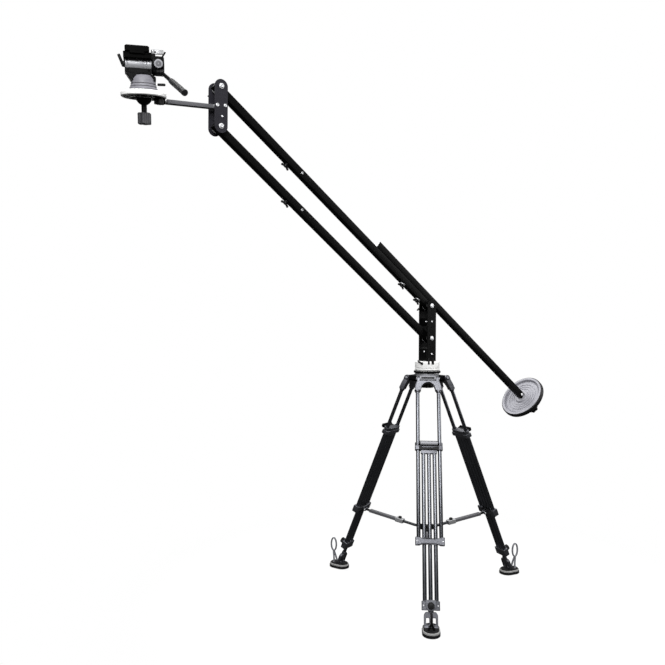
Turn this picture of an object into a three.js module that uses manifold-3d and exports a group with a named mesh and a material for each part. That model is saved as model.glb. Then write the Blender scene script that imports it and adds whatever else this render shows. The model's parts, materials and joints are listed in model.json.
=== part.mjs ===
// A camera jib crane on its tripod, in millimetres, +Z up.
// The booms lie in the XZ plane: the camera head is toward -X and the counterweight toward +X.
// The post and the tripod stand on the pan axis. Every leg is drawn in its own frame, where
// X runs across the leg, Y points away from the pan axis and the leg hangs down from its hinge.

import * as THREE from "three";
import { mergeVertices } from "three/addons/utils/BufferGeometryUtils.js";
import Module from "manifold-3d";

const wasm = await Module();
wasm.setup();

// Counts and angles.
const roundSides = 12;
const smallSides = 8;
const largeSides = 24;
const curveSteps = 3;
const archSteps = 6;
const knobLobes = 6;
const hexSides = 6;
const legAngles = { front: -129, right: -9, left: 111 };
const boomPitch = 37;
const headYaw = -19;
const handleSplay = 15;
const handleDrop = 22;
const armPitch = 4.9;
const platformRoll = 8.2;
const weldShare = 1e-4;

// Clearances shared by all pieces: a still seat, a bore that something turns in, a cut's overrun.
const seat = 0.3;
const turnGap = 0.7;
const overrun = 4;

// Tripod stance.
const hingeRadius = 88;
const hingeHeight = 1046;
const ankleRadius = 515;
const ankleHeight = 22;

const crown = {
  rimRadius: 66, rimHeight: 10, top: 1080, bodyRadius: 58, waistRadius: 52, bottomRadius: 38,
  bodyHeight: 38, bottom: 1030, boreRadius: 12.6,
  lugHalfWidth: 38, lugRadius: 11, pinBoreRadius: 5.4,
};

const crownClamp = { radius: 31, height: 34, lobes: 8, lobeRadius: 5, studDepth: 18 };

const leg = {
  tubeRadius: 9, outerOffset: 50, innerOffset: 25.3, pinRadius: 5,
  earRadius: 13, earOuter: 52, castingHalfWidth: 65, castingThickness: 26,
  barTop: 14.3, archTop: 31, castingEnd: 62, archHalfWidth: 34,
  yokeStation: 758, yokeHalfWidth: 65, yokeEndHeight: 36, yokeWaistHeight: 20, yokeThickness: 30,
  yokeEndWidth: 18, tubeEndCover: 8,
  stageLength: 690, collarHalfWidth: 64, collarHeight: 36, collarThickness: 34,
  barHeight: 12, barHalfWidth: 37, barDrop: 4, barThickness: 20,
  bracketHalfWidth: 39, bracketHeight: 38, bracketThickness: 30, shieldHalfWidth: 23,
  shieldHeight: 46, shieldDepth: 5,
  slide: 0.4,
};

const bracketRise = { front: 86.5, right: 109.5, left: 121.5 };

const lever = { width: 92, height: 15, depth: 9, reach: 20, lip: 13, lipHeight: 24, pin: 4 };

const knob = { radius: 15, length: 16, stemRadius: 6, stemLength: 6, studRadius: 3.5 };

const fork = {
  halfWidth: 30, thickness: 15, length: 62, windowWidth: 14, windowHeight: 24, ribHalfWidth: 7,
  barrelRadius: 10, neckWidth: 22,
};

const foot = {
  length: 112, width: 78, soleHeight: 9, rimHeight: 25, rimInset: 3, forward: 6,
  slotBack: 17, slotFront: 10,
  strapWidth: 17, strapThick: 5, strapRise: 62, strapLean: 20, strapStart: 30,
  loopRadius: 24, loopThick: 6, loopSquash: 0.62,
};

const spreader = {
  hubHeight: 300, pivotRadius: 40, coreRadius: 14, cheekEnd: 50, cheekThick: 4, cheekHeight: 24,
  eyeRadius: 8, neckWidth: 10, neckEnd: 18, innerWidth: 16, innerHeight: 9, innerLength: 165,
  outerWidth: 22, outerHeight: 14, outerStart: 88, collarLength: 44, collarWidth: 27,
  collarHeight: 21, lockRadius: 9, lockHeight: 9, yokePivotInset: 26, earRadius: 9, neckRun: 30,
  hubHeightCore: 24,
};

const table = {
  radius: 60, baseHeight: 12.7, topHeight: 34.7, bevel: 4, spigotRadius: 20, spigotHeight: 18,
  studRadius: 12, studLength: 62,
  lockRadius: 6, lockLength: 15, lockArm: 26, lockArmThick: 5, lockHeight: 9,
};

const boom = {
  size: 32, wall: 3, pivotGap: 160, length: 1419, tailEnd: 24, headEnd: 20,
  washerRadius: 19, washerThick: 10.7, bushRadius: 11, boltRadius: 6, boreRadius: 6.3,
  seam: 967, spigotBehind: 110, spigotAhead: 78, knobAhead: 37,
};

const plate = {
  thickness: 6, halfWidth: 28, postHeight: 1402, postBottom: 1128.3,
  headRadius: 8.5, headHeight: 6, smallHeadRadius: 4, smallHeadHeight: 3, foot: 10,
  footRadius: 6,
};

const spacer = { lowTop: 71, lowFrontTop: 62, lowFront: 20, midBottom: -94, midTop: -62, midFront: 16 };

const clampBolt = {
  wingRadius: 9, wingLength: 12, wingSpan: 27, wingThick: 5, wingHeight: 12, nutGap: 0.6,
};

const beam = {
  front: 425, rear: 842, capThick: 3, endPlug: 30, spindleRadius: 12.5, spindleLength: 148,
  boltRadius: 7, boltHeight: 4, clampFront: 192, clampRear: 72, travel: 120,
};

const clampKnob = {
  studRadius: 4, ringRadius: 9, ringHeight: 4, hubRadius: 7, hubHeight: 12, wingSpan: 21,
  wingThick: 5, wingHeight: 11, bite: 12, nutRadius: 8, nutHeight: 5,
};

const weight = {
  radius: 125, thick: 28, rimWidth: 19, grooveWidth: 5, grooveDepth: 5, dish: 5, hubRadius: 34,
  hubRise: 4, boreRadius: 13, sleeveRadius: 17, sleeveLength: 78, headRadius: 24, headLength: 30,
  lobes: 6, lobeRadius: 6,
};

const bracket = {
  armDrop: 77.6, armWidth: 22, armHeight: 12, armTail: 24, boltSpan: 17,
  bossRadius: 9, spacerDrop: 121, spacerX: 3, spacerRadius: 7,
  reach: 306, armStop: 3, spigotRadius: 6.5, spigotInner: 45, deckRise: 27,
};

const bowl = {
  radius: 84.5, height: 20, seatRadius: 50, ballGap: 0.9, ballRise: 22, lipRadius: 6, holeRadius: 25,
  bossX: 46, bossY: 44, bossRadius: 12, bossHeight: 6, knobRadius: 16, knobHeight: 20,
  clampInner: 44, clampOuter: 80, clampHalf: 14, clampDrop: 12,
};

const head = {
  ringRadius: 52, ringHeight: 10, ringLift: 6, stepRadius: 48.5, stepHeight: 7,
  skirtRadius: 45, skirtHeight: 43, coneRadius: 36,
  coneHeight: 57, domeRadius: 20, domeHeight: 62, domeTop: 63.5, ballBottom: 18,
  cupRadius: 28, cupHeight: 24, cupGap: 3.5, stemRadius: 10, stemLength: 28, knobRadius: 26,
  knobHeight: 43, knobLobeRadius: 5,
  tiltHeight: 97, drumRadius: 30, drumLeft: -64, drumRight: 31, housingLeft: 33, housingRight: 78,
  housingRadius: 36,
  bodyHalfDepth: 28, bodyTop: 81, bodyLeft: -66, bodyRight: 31, lobeBottom: 37, lobeHalf: 46,
  lobeShoulder: 68, lobeRight: 52,
  deckBottom: 16, deckTop: 38, deckLeft: -70, deckRight: 30, deckHalf: 48,
  railDepth: 7, railHalf: 27, plateTop: 67, plateHalf: 55, plateInset: 17, screwRadius: 5,
  tabRight: 46, tabHalf: 10,
};

const headKnob = { radius: 16, length: 13, bossRadius: 9, bossReach: 42, pin: 4 };
const tiltLever = {
  hubRadius: 11, hubLength: 9, arm: 36, armWidth: 13, armThick: 8, lean: 10, flare: 22,
};
const panLever = { rise: 28, start: 48, stem: 5, length: 30, width: 9, thick: 6 };
const plateLever = { hubRadius: 8, hubHeight: 16, arm: 31, armWidth: 12, armThick: 12 };

const handle = {
  mountX: 60, mountY: 40, mountZ: -30, rosetteRadius: 13, lugLength: 12, ringLength: 14,
  webWidth: 16, webRise: 20, rodRadius: 7,
  rodLength: 118, gripRadius: 11, gripLength: 162, capRadius: 12, capLength: 8,
};

// Angles in radians and stations worked out from the sizes above.
const rad = THREE.MathUtils.degToRad;
const legTilt = Math.atan2(ankleRadius - hingeRadius, hingeHeight - ankleHeight);
const legLength = Math.hypot(ankleRadius - hingeRadius, hingeHeight - ankleHeight);
const pitch = rad(boomPitch);
const spigotTail = boom.seam - boom.spigotBehind;
const spigotHead = boom.seam + boom.spigotAhead;
const knobStation = boom.seam + boom.knobAhead;
const plateInner = boom.size / 2 + boom.washerThick + seat;
const plateOuter = plateInner + plate.thickness;
const headX = -boom.length * Math.cos(pitch);
const headZ = plate.postHeight + boom.length * Math.sin(pitch);
const collarStation = {};
for (const name of Object.keys(legAngles)) {
  collarStation[name] = legLength - bracketRise[name] - leg.stageLength;
}

// Finishes.
const finishes = {
  satinBlack: { color: 0x17181a, roughness: 0.45, metalness: 0.3 },
  greyMetal: { color: 0x85878a, roughness: 0.38, metalness: 0.7 },
  darkMetal: { color: 0x34363a, roughness: 0.45, metalness: 0.5 },
  white: { color: 0xeceded, roughness: 0.45, metalness: 0.1 },
  pale: { color: 0xc9cacc, roughness: 0.5, metalness: 0.3 },
  plastic: { color: 0x1b1b1c, roughness: 0.6, metalness: 0 },
  rubber: { color: 0x161616, roughness: 0.85, metalness: 0 },
  castIron: { color: 0xb4b5ba, roughness: 0.6, metalness: 0.3 },
  silver: { color: 0xd5d6d8, roughness: 0.3, metalness: 0.8 },
};

// Turns a three.js geometry into a solid.
function solid(geometry) {
  const bare = geometry.index ? geometry.clone() : mergeVertices(geometry.clone());
  bare.deleteAttribute("normal");
  bare.deleteAttribute("uv");
  const merged = mergeVertices(bare, weldShare);
  return new wasm.Manifold(new wasm.Mesh({
    numProp: 3,
    vertProperties: merged.attributes.position.array,
    triVerts: new Uint32Array(merged.index.array),
  }));
}

// Moves and turns a geometry before it becomes a solid.
function placed(geometry, at = [0, 0, 0], turn = [0, 0, 0]) {
  const matrix = new THREE.Matrix4().makeRotationFromEuler(new THREE.Euler(...turn));
  matrix.setPosition(...at);
  return solid(geometry.applyMatrix4(matrix));
}

const quarter = Math.PI / 2;
const axisTurn = { x: [0, 0, -quarter], y: [0, 0, 0], z: [quarter, 0, 0] };

// A box centred at a place.
function box(x, y, z, at, turn) {
  return placed(new THREE.BoxGeometry(x, y, z), at, turn);
}

// A box from its lowest to its highest corner.
function block(low, high) {
  const size = high.map((value, i) => value - low[i]);
  const middle = high.map((value, i) => (value + low[i]) / 2);
  return box(...size, middle);
}

// A round bar along an axis, centred at a place.
function bar(axis, radius, length, at, sides = roundSides) {
  return placed(new THREE.CylinderGeometry(radius, radius, length, sides), at, axisTurn[axis]);
}

// A shape turned about the Z axis, from [radius, height] points that run from the foot to the top.
function turned(points, sides = largeSides) {
  const profile = points.map(([r, z]) => new THREE.Vector2(r, z));
  return placed(new THREE.LatheGeometry(profile, sides), [0, 0, 0], [quarter, 0, 0]);
}

// A flat outline in the XY plane, given as a THREE.Shape, thickened along Z from zero.
function slab(shape, depth, curveSegments = smallSides) {
  return solid(new THREE.ExtrudeGeometry(shape, { depth, bevelEnabled: false, curveSegments }));
}

// An outline drawn in XZ and thickened along Y, centred on Y.
function upright(shape, depth, curveSegments = smallSides) {
  const g = new THREE.ExtrudeGeometry(shape, { depth, bevelEnabled: false, curveSegments });
  g.translate(0, 0, -depth / 2);
  return placed(g, [0, 0, 0], [quarter, 0, 0]);
}

// An outline drawn in YZ and thickened along X, centred on X.
function sideways(shape, depth, curveSegments = smallSides) {
  const g = new THREE.ExtrudeGeometry(shape, { depth, bevelEnabled: false, curveSegments });
  g.translate(0, 0, -depth / 2);
  g.rotateX(quarter);
  return placed(g, [0, 0, 0], [0, 0, quarter]);
}

function outline(points) {
  return new THREE.Shape(points.map(([x, y]) => new THREE.Vector2(x, y)));
}

function join(...solids) {
  return solids.reduce((whole, next) => whole.add(next));
}

function cut(whole, ...cutters) {
  return cutters.reduce((rest, next) => rest.subtract(next), whole);
}

function shifted(body, x, y, z) {
  return body.translate([x, y, z]);
}

// Adds one named piece to a group.
function piece(group, name, finish, body) {
  const mesh = body.getMesh();
  const geometry = new THREE.BufferGeometry();
  geometry.setAttribute("position", new THREE.BufferAttribute(mesh.vertProperties, 3));
  geometry.setIndex(new THREE.BufferAttribute(mesh.triVerts, 1));
  geometry.computeVertexNormals();
  const result = new THREE.Mesh(geometry, new THREE.MeshStandardMaterial(finishes[finish]));
  result.name = name;
  group.add(result);
}

// A round knob with lobes, standing up from zero.
function lobedKnob(radius, height, lobes, lobeRadius) {
  let body = bar("z", radius - lobeRadius / 2, height, [0, 0, height / 2], 2 * lobes);
  for (let i = 0; i < lobes; i += 1) {
    const a = (i / lobes) * 2 * Math.PI;
    const out = radius - lobeRadius;
    const at = [out * Math.cos(a), out * Math.sin(a), height / 2];
    body = body.add(bar("z", lobeRadius, height, at, smallSides));
  }
  return body;
}

// Two wings on a hub, standing up from zero.
function wings(span, thick, height, lift) {
  const shape = new THREE.Shape();
  shape.moveTo(-span, lift + height * wingShares.tip);
  shape.quadraticCurveTo(-span, lift + height, -span * wingShares.crest, lift + height);
  shape.lineTo(-span * wingShares.root, lift);
  shape.lineTo(span * wingShares.root, lift);
  shape.lineTo(span * wingShares.crest, lift + height);
  shape.quadraticCurveTo(span, lift + height, span, lift + height * wingShares.tip);
  shape.lineTo(span * wingShares.root, lift - height * wingShares.dip);
  shape.lineTo(-span * wingShares.root, lift - height * wingShares.dip);
  shape.closePath();
  return upright(shape, thick, curveSteps);
}
const wingShares = { tip: 0.45, crest: 0.8, root: 0.25, dip: 0.25 };

// The crane as one group. It is moved at the end so that it stands centred over its origin.
const crane = new THREE.Group();

function group(parent, at = [0, 0, 0], turn = [0, 0, 0]) {
  const g = new THREE.Group();
  g.position.set(...at);
  g.rotation.set(...turn);
  parent.add(g);
  return g;
}

// Tripod crown: rim, bowl-shaped body and three hinge lugs.
function buildCrown() {
  let body = turned([
    [0, crown.bottom],
    [crown.bottomRadius, crown.bottom],
    [crown.waistRadius, crown.top - crown.bodyHeight],
    [crown.bodyRadius, crown.top - crown.rimHeight - crown.rimHeight],
    [crown.bodyRadius, crown.top - crown.rimHeight],
    [crown.rimRadius, crown.top - crown.rimHeight],
    [crown.rimRadius, crown.top],
    [0, crown.top],
  ]);
  for (const degrees of Object.values(legAngles)) {
    const lug = join(
      block([-crown.lugHalfWidth, crown.bottomRadius / 2, hingeHeight - crown.lugRadius],
        [crown.lugHalfWidth, hingeRadius, hingeHeight + crown.lugRadius]),
      bar("x", crown.lugRadius, 2 * crown.lugHalfWidth, [0, hingeRadius, hingeHeight]),
    );
    const pinHole = bar("x", crown.pinBoreRadius, 2 * crown.lugHalfWidth + overrun,
      [0, hingeRadius, hingeHeight]);
    body = body.add(cut(lug, pinHole).rotate([0, 0, degrees - 90]));
  }
  const bore = bar("z", crown.boreRadius, crown.top, [0, 0, crown.top]);
  piece(crane, "tripod_crown", "darkMetal", cut(body, bore));
}

// The bowl clamp under the crown.
function buildCrownClamp() {
  const top = crown.bottom - seat;
  const body = shifted(
    lobedKnob(crownClamp.radius, crownClamp.height, crownClamp.lobes, crownClamp.lobeRadius),
    0, 0, top - crownClamp.height);
  const hole = bar("z", crown.boreRadius, 2 * crownClamp.studDepth, [0, 0, top]);
  piece(crane, "crown_clamp_knob", "plastic", cut(body, hole));
}

// The arched casting at the top of a leg, drawn with X across and Z up from the hinge.
function legCasting() {
  const arch = new THREE.Shape();
  arch.moveTo(-leg.earOuter, -leg.barTop);
  arch.lineTo(leg.earOuter, -leg.barTop);
  arch.lineTo(leg.castingHalfWidth, -leg.castingEnd);
  arch.lineTo(leg.archHalfWidth, -leg.castingEnd);
  arch.absellipse(0, -leg.castingEnd, leg.archHalfWidth, leg.castingEnd - leg.archTop,
    0, Math.PI, false);
  arch.lineTo(-leg.castingHalfWidth, -leg.castingEnd);
  arch.closePath();
  let body = upright(arch, leg.castingThickness, archSteps);
  const earInner = crown.lugHalfWidth + seat;
  const earWidth = leg.earOuter - earInner;
  for (const side of [-1, 1]) {
    const x = side * (earInner + earWidth / 2);
    body = body.add(bar("x", leg.earRadius, earWidth, [x, 0, 0]));
    body = body.add(block([x - earWidth / 2, -leg.earRadius, -leg.barTop - leg.tubeEndCover],
      [x + earWidth / 2, leg.earRadius, 0]));
  }
  return body.add(bar("x", leg.pinRadius, 2 * earInner + earWidth, [0, 0, 0], smallSides));
}

// The bow-tie yoke at the foot of the outer tubes, with ears for the spreader arm.
function legYoke() {
  const half = leg.yokeEndHeight / 2;
  const waist = leg.yokeWaistHeight / 2;
  const inner = leg.yokeHalfWidth - leg.yokeEndWidth;
  const shape = new THREE.Shape();
  shape.moveTo(-leg.yokeHalfWidth, half);
  shape.lineTo(-inner, half);
  shape.quadraticCurveTo(-inner / 2, waist, 0, waist);
  shape.quadraticCurveTo(inner / 2, waist, inner, half);
  shape.lineTo(leg.yokeHalfWidth, half);
  shape.lineTo(leg.yokeHalfWidth, -half);
  shape.lineTo(inner, -half);
  shape.quadraticCurveTo(inner / 2, -waist, 0, -waist);
  shape.quadraticCurveTo(-inner / 2, -waist, -inner, -half);
  shape.lineTo(-leg.yokeHalfWidth, -half);
  shape.closePath();
  let body = upright(shape, leg.yokeThickness, curveSteps);
  const gap = spreader.neckWidth / 2 + seat;
  for (const side of [-1, 1]) {
    const x = side * (gap + spreader.cheekThick / 2);
    body = body.add(bar("x", spreader.earRadius, spreader.cheekThick,
      [x, -spreader.yokePivotInset, 0], smallSides));
    body = body.add(box(spreader.cheekThick, spreader.yokePivotInset, 2 * spreader.earRadius,
      [x, -spreader.yokePivotInset / 2, 0]));
  }
  for (const x of [-leg.innerOffset, 0, leg.innerOffset]) {
    body = cut(body, bar("z", leg.tubeRadius + leg.slide, 2 * leg.yokeEndHeight, [x, 0, 0]));
  }
  return body;
}

function buildLegUpper(name, frame) {
  let body = legCasting();
  const tubeTop = -(leg.castingEnd - leg.tubeEndCover);
  const tubeFoot = -leg.yokeStation;
  for (const side of [-1, 1]) {
    body = body.add(bar("z", leg.tubeRadius, tubeTop - tubeFoot,
      [side * leg.outerOffset, 0, (tubeTop + tubeFoot) / 2]));
  }
  body = body.add(shifted(legYoke(), 0, 0, -leg.yokeStation));
  piece(frame, `leg_upper_${name}`, "greyMetal", body);
}

function buildLegMiddle(name, frame) {
  const top = -collarStation[name];
  const low = top - leg.stageLength;
  const barZ = top - leg.collarHeight / 2 - leg.barDrop;
  let body = box(2 * leg.collarHalfWidth, leg.collarThickness, leg.collarHeight, [0, 0, top]);
  const recess = box(lever.width + leverRecessClear, lever.depth + overrun,
    lever.height + 2 * leverRecessClear,
    [0, leg.collarThickness / 2, top + leg.collarHeight / 2 - lever.height / 2]);
  body = cut(body, recess);
  for (const side of [-1, 1]) {
    body = cut(body, bar("z", leg.tubeRadius + leg.slide, 2 * leg.collarHeight,
      [side * leg.outerOffset, 0, top]));
  }
  body = body.add(block([-leg.barHalfWidth, -leg.barThickness / 2, barZ - leg.barHeight],
    [leg.barHalfWidth, leg.barThickness / 2, top]));
  body = cut(body, recess);
  const bracketTop = low + leg.bracketHeight / 2;
  for (const side of [-1, 1]) {
    body = body.add(bar("z", leg.tubeRadius, barZ - bracketTop + leg.barHeight,
      [side * leg.innerOffset, 0, (barZ + bracketTop - leg.barHeight) / 2]));
  }
  const shield = new THREE.Shape();
  shield.moveTo(-leg.shieldHalfWidth, leg.shieldHeight / 2);
  shield.lineTo(leg.shieldHalfWidth, leg.shieldHeight / 2);
  shield.lineTo(leg.shieldHalfWidth, 0);
  shield.quadraticCurveTo(leg.shieldHalfWidth, -leg.shieldHeight / 2, 0, -leg.shieldHeight / 2);
  shield.quadraticCurveTo(-leg.shieldHalfWidth, -leg.shieldHeight / 2, -leg.shieldHalfWidth, 0);
  shield.closePath();
  const depth = leg.bracketThickness / 2 + leg.shieldDepth;
  const boss = shifted(upright(shield, depth, curveSteps), 0, depth / 2, low);
  body = join(body, boss,
    box(2 * leg.bracketHalfWidth, leg.bracketThickness, leg.bracketHeight, [0, 0, low]));
  const centreBore = bar("z", leg.tubeRadius + leg.slide, 2 * leg.shieldHeight, [0, 0, low]);
  const knobHole = bar("y", knob.studRadius + seat, 2 * leg.bracketThickness,
    [0, leg.bracketThickness, low], smallSides);
  piece(frame, `leg_middle_${name}`, "greyMetal", cut(body, centreBore, knobHole));
}
const leverRecessClear = 1;

// The flip lever on the collar: a curved band with a lip that hooks outward.
function buildLegLever(name, frame) {
  const top = -collarStation[name] + leg.collarHeight / 2;
  const face = leg.collarThickness / 2;
  const back = face - lever.depth / 2 - overrun / 2 + leverRecessClear / 2;
  const shape = new THREE.Shape();
  shape.moveTo(back, top - lever.height);
  shape.lineTo(face + lever.reach / 2, top - lever.height);
  shape.quadraticCurveTo(face + lever.reach, top - lever.height,
    face + lever.reach, top - lever.height + lever.lipHeight);
  shape.lineTo(face + lever.lip, top - lever.height + lever.lipHeight);
  shape.quadraticCurveTo(face + lever.lip, top - lever.pin, face, top - lever.pin);
  shape.lineTo(back, top - lever.pin);
  shape.closePath();
  piece(frame, `leg_lever_${name}`, "darkMetal", sideways(shape, lever.width, curveSteps));
}

function buildLegLower(name, frame) {
  const tubeTop = -collarStation[name] - leg.collarHeight / 2 - leg.barDrop - leg.barHeight - seat;
  const ankle = -legLength;
  const forkTop = ankle + fork.length;
  let body = bar("z", leg.tubeRadius, tubeTop - forkTop + fork.barrelRadius,
    [0, 0, (tubeTop + forkTop - fork.barrelRadius) / 2]);
  const shape = new THREE.Shape();
  shape.moveTo(-fork.neckWidth, forkTop);
  shape.lineTo(fork.neckWidth, forkTop);
  shape.quadraticCurveTo(fork.halfWidth, forkTop, fork.halfWidth, forkTop - fork.neckWidth / 2);
  shape.lineTo(fork.halfWidth, ankle);
  shape.lineTo(-fork.halfWidth, ankle);
  shape.lineTo(-fork.halfWidth, forkTop - fork.neckWidth / 2);
  shape.quadraticCurveTo(-fork.halfWidth, forkTop, -fork.neckWidth, forkTop);
  body = body.add(upright(shape, fork.thickness, curveSteps));
  body = body.add(bar("x", fork.barrelRadius, 2 * fork.halfWidth, [0, 0, ankle]));
  const windowZ = ankle + fork.barrelRadius + fork.windowHeight / 2 + fork.ribHalfWidth / 2;
  for (const side of [-1, 1]) {
    const x = side * (fork.ribHalfWidth + fork.windowWidth / 2);
    body = cut(body, box(fork.windowWidth, 2 * fork.thickness, fork.windowHeight,
      [x, 0, windowZ]));
  }
  piece(frame, `leg_lower_${name}`, "greyMetal", body);
}

function buildLegKnob(name, frame) {
  const low = -collarStation[name] - leg.stageLength;
  const face = leg.bracketThickness / 2 + leg.shieldDepth + seat;
  const studEnd = leg.tubeRadius + seat;
  const stem = join(
    bar("y", knob.stemRadius, knob.stemLength, [0, face + knob.stemLength / 2, low], smallSides),
    bar("y", knob.studRadius, face + knob.stemLength - studEnd,
      [0, (face + knob.stemLength + studEnd) / 2, low], smallSides),
  );
  const head = shifted(
    lobedKnob(knob.radius, knob.length, knobLobes, knob.studRadius).rotate([-90, 0, 0]),
    0, face + knob.stemLength - seat, low);
  piece(frame, `leg_knob_${name}`, "plastic", join(stem, head));
}

// The rubber foot stands flat on the floor, under the ankle.
function buildFoot(name, frame) {
  const halfRun = (foot.length - foot.width) / 2;
  const stadium = (inset) => {
    const r = foot.width / 2 - inset;
    const shape = new THREE.Shape();
    shape.moveTo(r, -halfRun);
    shape.lineTo(r, halfRun);
    shape.absarc(0, halfRun, r, 0, Math.PI, false);
    shape.lineTo(-r, -halfRun);
    shape.absarc(0, -halfRun, r, Math.PI, 2 * Math.PI, false);
    return shape;
  };
  const centreY = ankleRadius + foot.forward;
  const sole = shifted(slab(stadium(0), foot.soleHeight), 0, centreY, 0);
  const rim = shifted(slab(stadium(foot.rimInset), foot.rimHeight), 0, centreY, 0);
  let body = sole.add(rim);
  const groove = bar("x", fork.barrelRadius + turnGap, 2 * (fork.halfWidth + seat),
    [0, ankleRadius, ankleHeight]);
  const mouth = block([-fork.halfWidth - seat, ankleRadius - foot.slotBack, ankleHeight],
    [fork.halfWidth + seat, ankleRadius + foot.slotFront, ankleHeight + foot.rimHeight]);
  body = cut(body, groove, mouth);
  const strapY = ankleRadius + foot.strapStart;
  const strap = outline([
    [strapY, foot.soleHeight],
    [strapY + foot.strapThick, foot.soleHeight],
    [strapY + foot.strapThick + foot.strapLean / 2, foot.strapRise],
    [strapY + foot.strapThick + foot.strapLean, foot.strapRise + foot.strapRise / 2],
    [strapY + foot.strapLean, foot.strapRise + foot.strapRise / 2],
    [strapY + foot.strapLean / 2, foot.strapRise],
  ]);
  body = body.add(sideways(strap, foot.strapWidth));
  const ring = (radius, thick) => bar("y", radius, thick, [0, 0, 0], roundSides);
  let loop = cut(ring(foot.loopRadius, foot.strapThick),
    ring(foot.loopRadius - foot.loopThick, 2 * foot.strapThick));
  loop = loop.scale([foot.loopSquash, 1, 1]);
  const loopZ = foot.strapRise + foot.strapRise / 2 + foot.loopRadius - foot.loopThick;
  body = body.add(shifted(loop, 0, strapY + foot.strapLean + foot.strapThick / 2, loopZ));
  piece(frame, `foot_${name}`, "rubber", body);
}

// Where the spreader arm meets the yoke, in the leg's radial plane.
function yokePivot() {
  const d = leg.yokeStation;
  const n = -spreader.yokePivotInset;
  return {
    y: hingeRadius + d * Math.sin(legTilt) + n * Math.cos(legTilt),
    z: hingeHeight - d * Math.cos(legTilt) + n * Math.sin(legTilt),
  };
}

function buildSpreaderArms(name, radial) {
  const yoke = yokePivot();
  const run = yoke.y - spreader.pivotRadius;
  const rise = yoke.z - spreader.hubHeight;
  const length = Math.hypot(run, rise);
  const frame = group(radial, [0, spreader.pivotRadius, spreader.hubHeight],
    [Math.atan2(rise, run), 0, 0]);
  const inner = join(
    bar("x", spreader.eyeRadius, spreader.neckWidth, [0, 0, 0], smallSides),
    block([-spreader.neckWidth / 2, 0, -spreader.innerHeight / 2],
      [spreader.neckWidth / 2, spreader.neckEnd + overrun, spreader.innerHeight / 2]),
    block([-spreader.innerWidth / 2, spreader.neckEnd, -spreader.innerHeight / 2],
      [spreader.innerWidth / 2, spreader.innerLength, spreader.innerHeight / 2]),
  );
  piece(frame, `spreader_inner_${name}`, "greyMetal", inner);
  const sleeveEnd = length - spreader.neckRun;
  let outer = join(
    block([-spreader.outerWidth / 2, spreader.outerStart, -spreader.outerHeight / 2],
      [spreader.outerWidth / 2, sleeveEnd, spreader.outerHeight / 2]),
    block([-spreader.collarWidth / 2, spreader.outerStart, -spreader.collarHeight / 2],
      [spreader.collarWidth / 2, spreader.outerStart + spreader.collarLength,
        spreader.collarHeight / 2]),
    bar("z", spreader.lockRadius, spreader.lockHeight + spreader.collarHeight,
      [0, spreader.outerStart + spreader.collarLength / 2, spreader.lockHeight / 2],
      smallSides),
  );
  outer = cut(outer, block(
    [-spreader.innerWidth / 2 - seat, 0, -spreader.innerHeight / 2 - seat],
    [spreader.innerWidth / 2 + seat, sleeveEnd - spreader.neckRun / 2,
      spreader.innerHeight / 2 + seat]));
  outer = join(outer,
    block([-spreader.neckWidth / 2, sleeveEnd - overrun, -spreader.innerHeight / 2],
      [spreader.neckWidth / 2, length, spreader.innerHeight / 2]),
    bar("x", spreader.eyeRadius, spreader.neckWidth, [0, length, 0], smallSides));
  piece(frame, `spreader_outer_${name}`, "pale", outer);
}

function buildSpreaderHub() {
  let body = bar("z", spreader.coreRadius, spreader.hubHeightCore, [0, 0, spreader.hubHeight]);
  const gap = spreader.neckWidth / 2 + seat;
  const radius = spreader.cheekHeight / 2;
  for (const degrees of Object.values(legAngles)) {
    let pair = null;
    for (const side of [-1, 1]) {
      const x = side * (gap + spreader.cheekThick / 2);
      const cheek = join(
        block([x - spreader.cheekThick / 2, 0, spreader.hubHeight - radius],
          [x + spreader.cheekThick / 2, spreader.cheekEnd - radius,
            spreader.hubHeight + radius]),
        bar("x", radius, spreader.cheekThick,
          [x, spreader.cheekEnd - radius, spreader.hubHeight]),
      );
      pair = pair ? pair.add(cheek) : cheek;
    }
    body = body.add(pair.rotate([0, 0, degrees - 90]));
  }
  for (const degrees of Object.values(legAngles)) {
    const slot = block([-gap, spreader.coreRadius, spreader.hubHeight - spreader.cheekHeight],
      [gap, spreader.cheekEnd + overrun, spreader.hubHeight + spreader.cheekHeight]);
    body = cut(body, slot.rotate([0, 0, degrees - 90]));
  }
  piece(crane, "spreader_hub", "plastic", body);
}

function buildLegs() {
  for (const [name, degrees] of Object.entries(legAngles)) {
    const radial = group(crane, [0, 0, 0], [0, 0, rad(degrees - 90)]);
    const frame = group(radial, [0, hingeRadius, hingeHeight], [legTilt, 0, 0]);
    buildLegUpper(name, frame);
    buildLegMiddle(name, frame);
    buildLegLever(name, frame);
    buildLegLower(name, frame);
    buildLegKnob(name, frame);
    buildFoot(name, radial);
    buildSpreaderArms(name, radial);
  }
}

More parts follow.
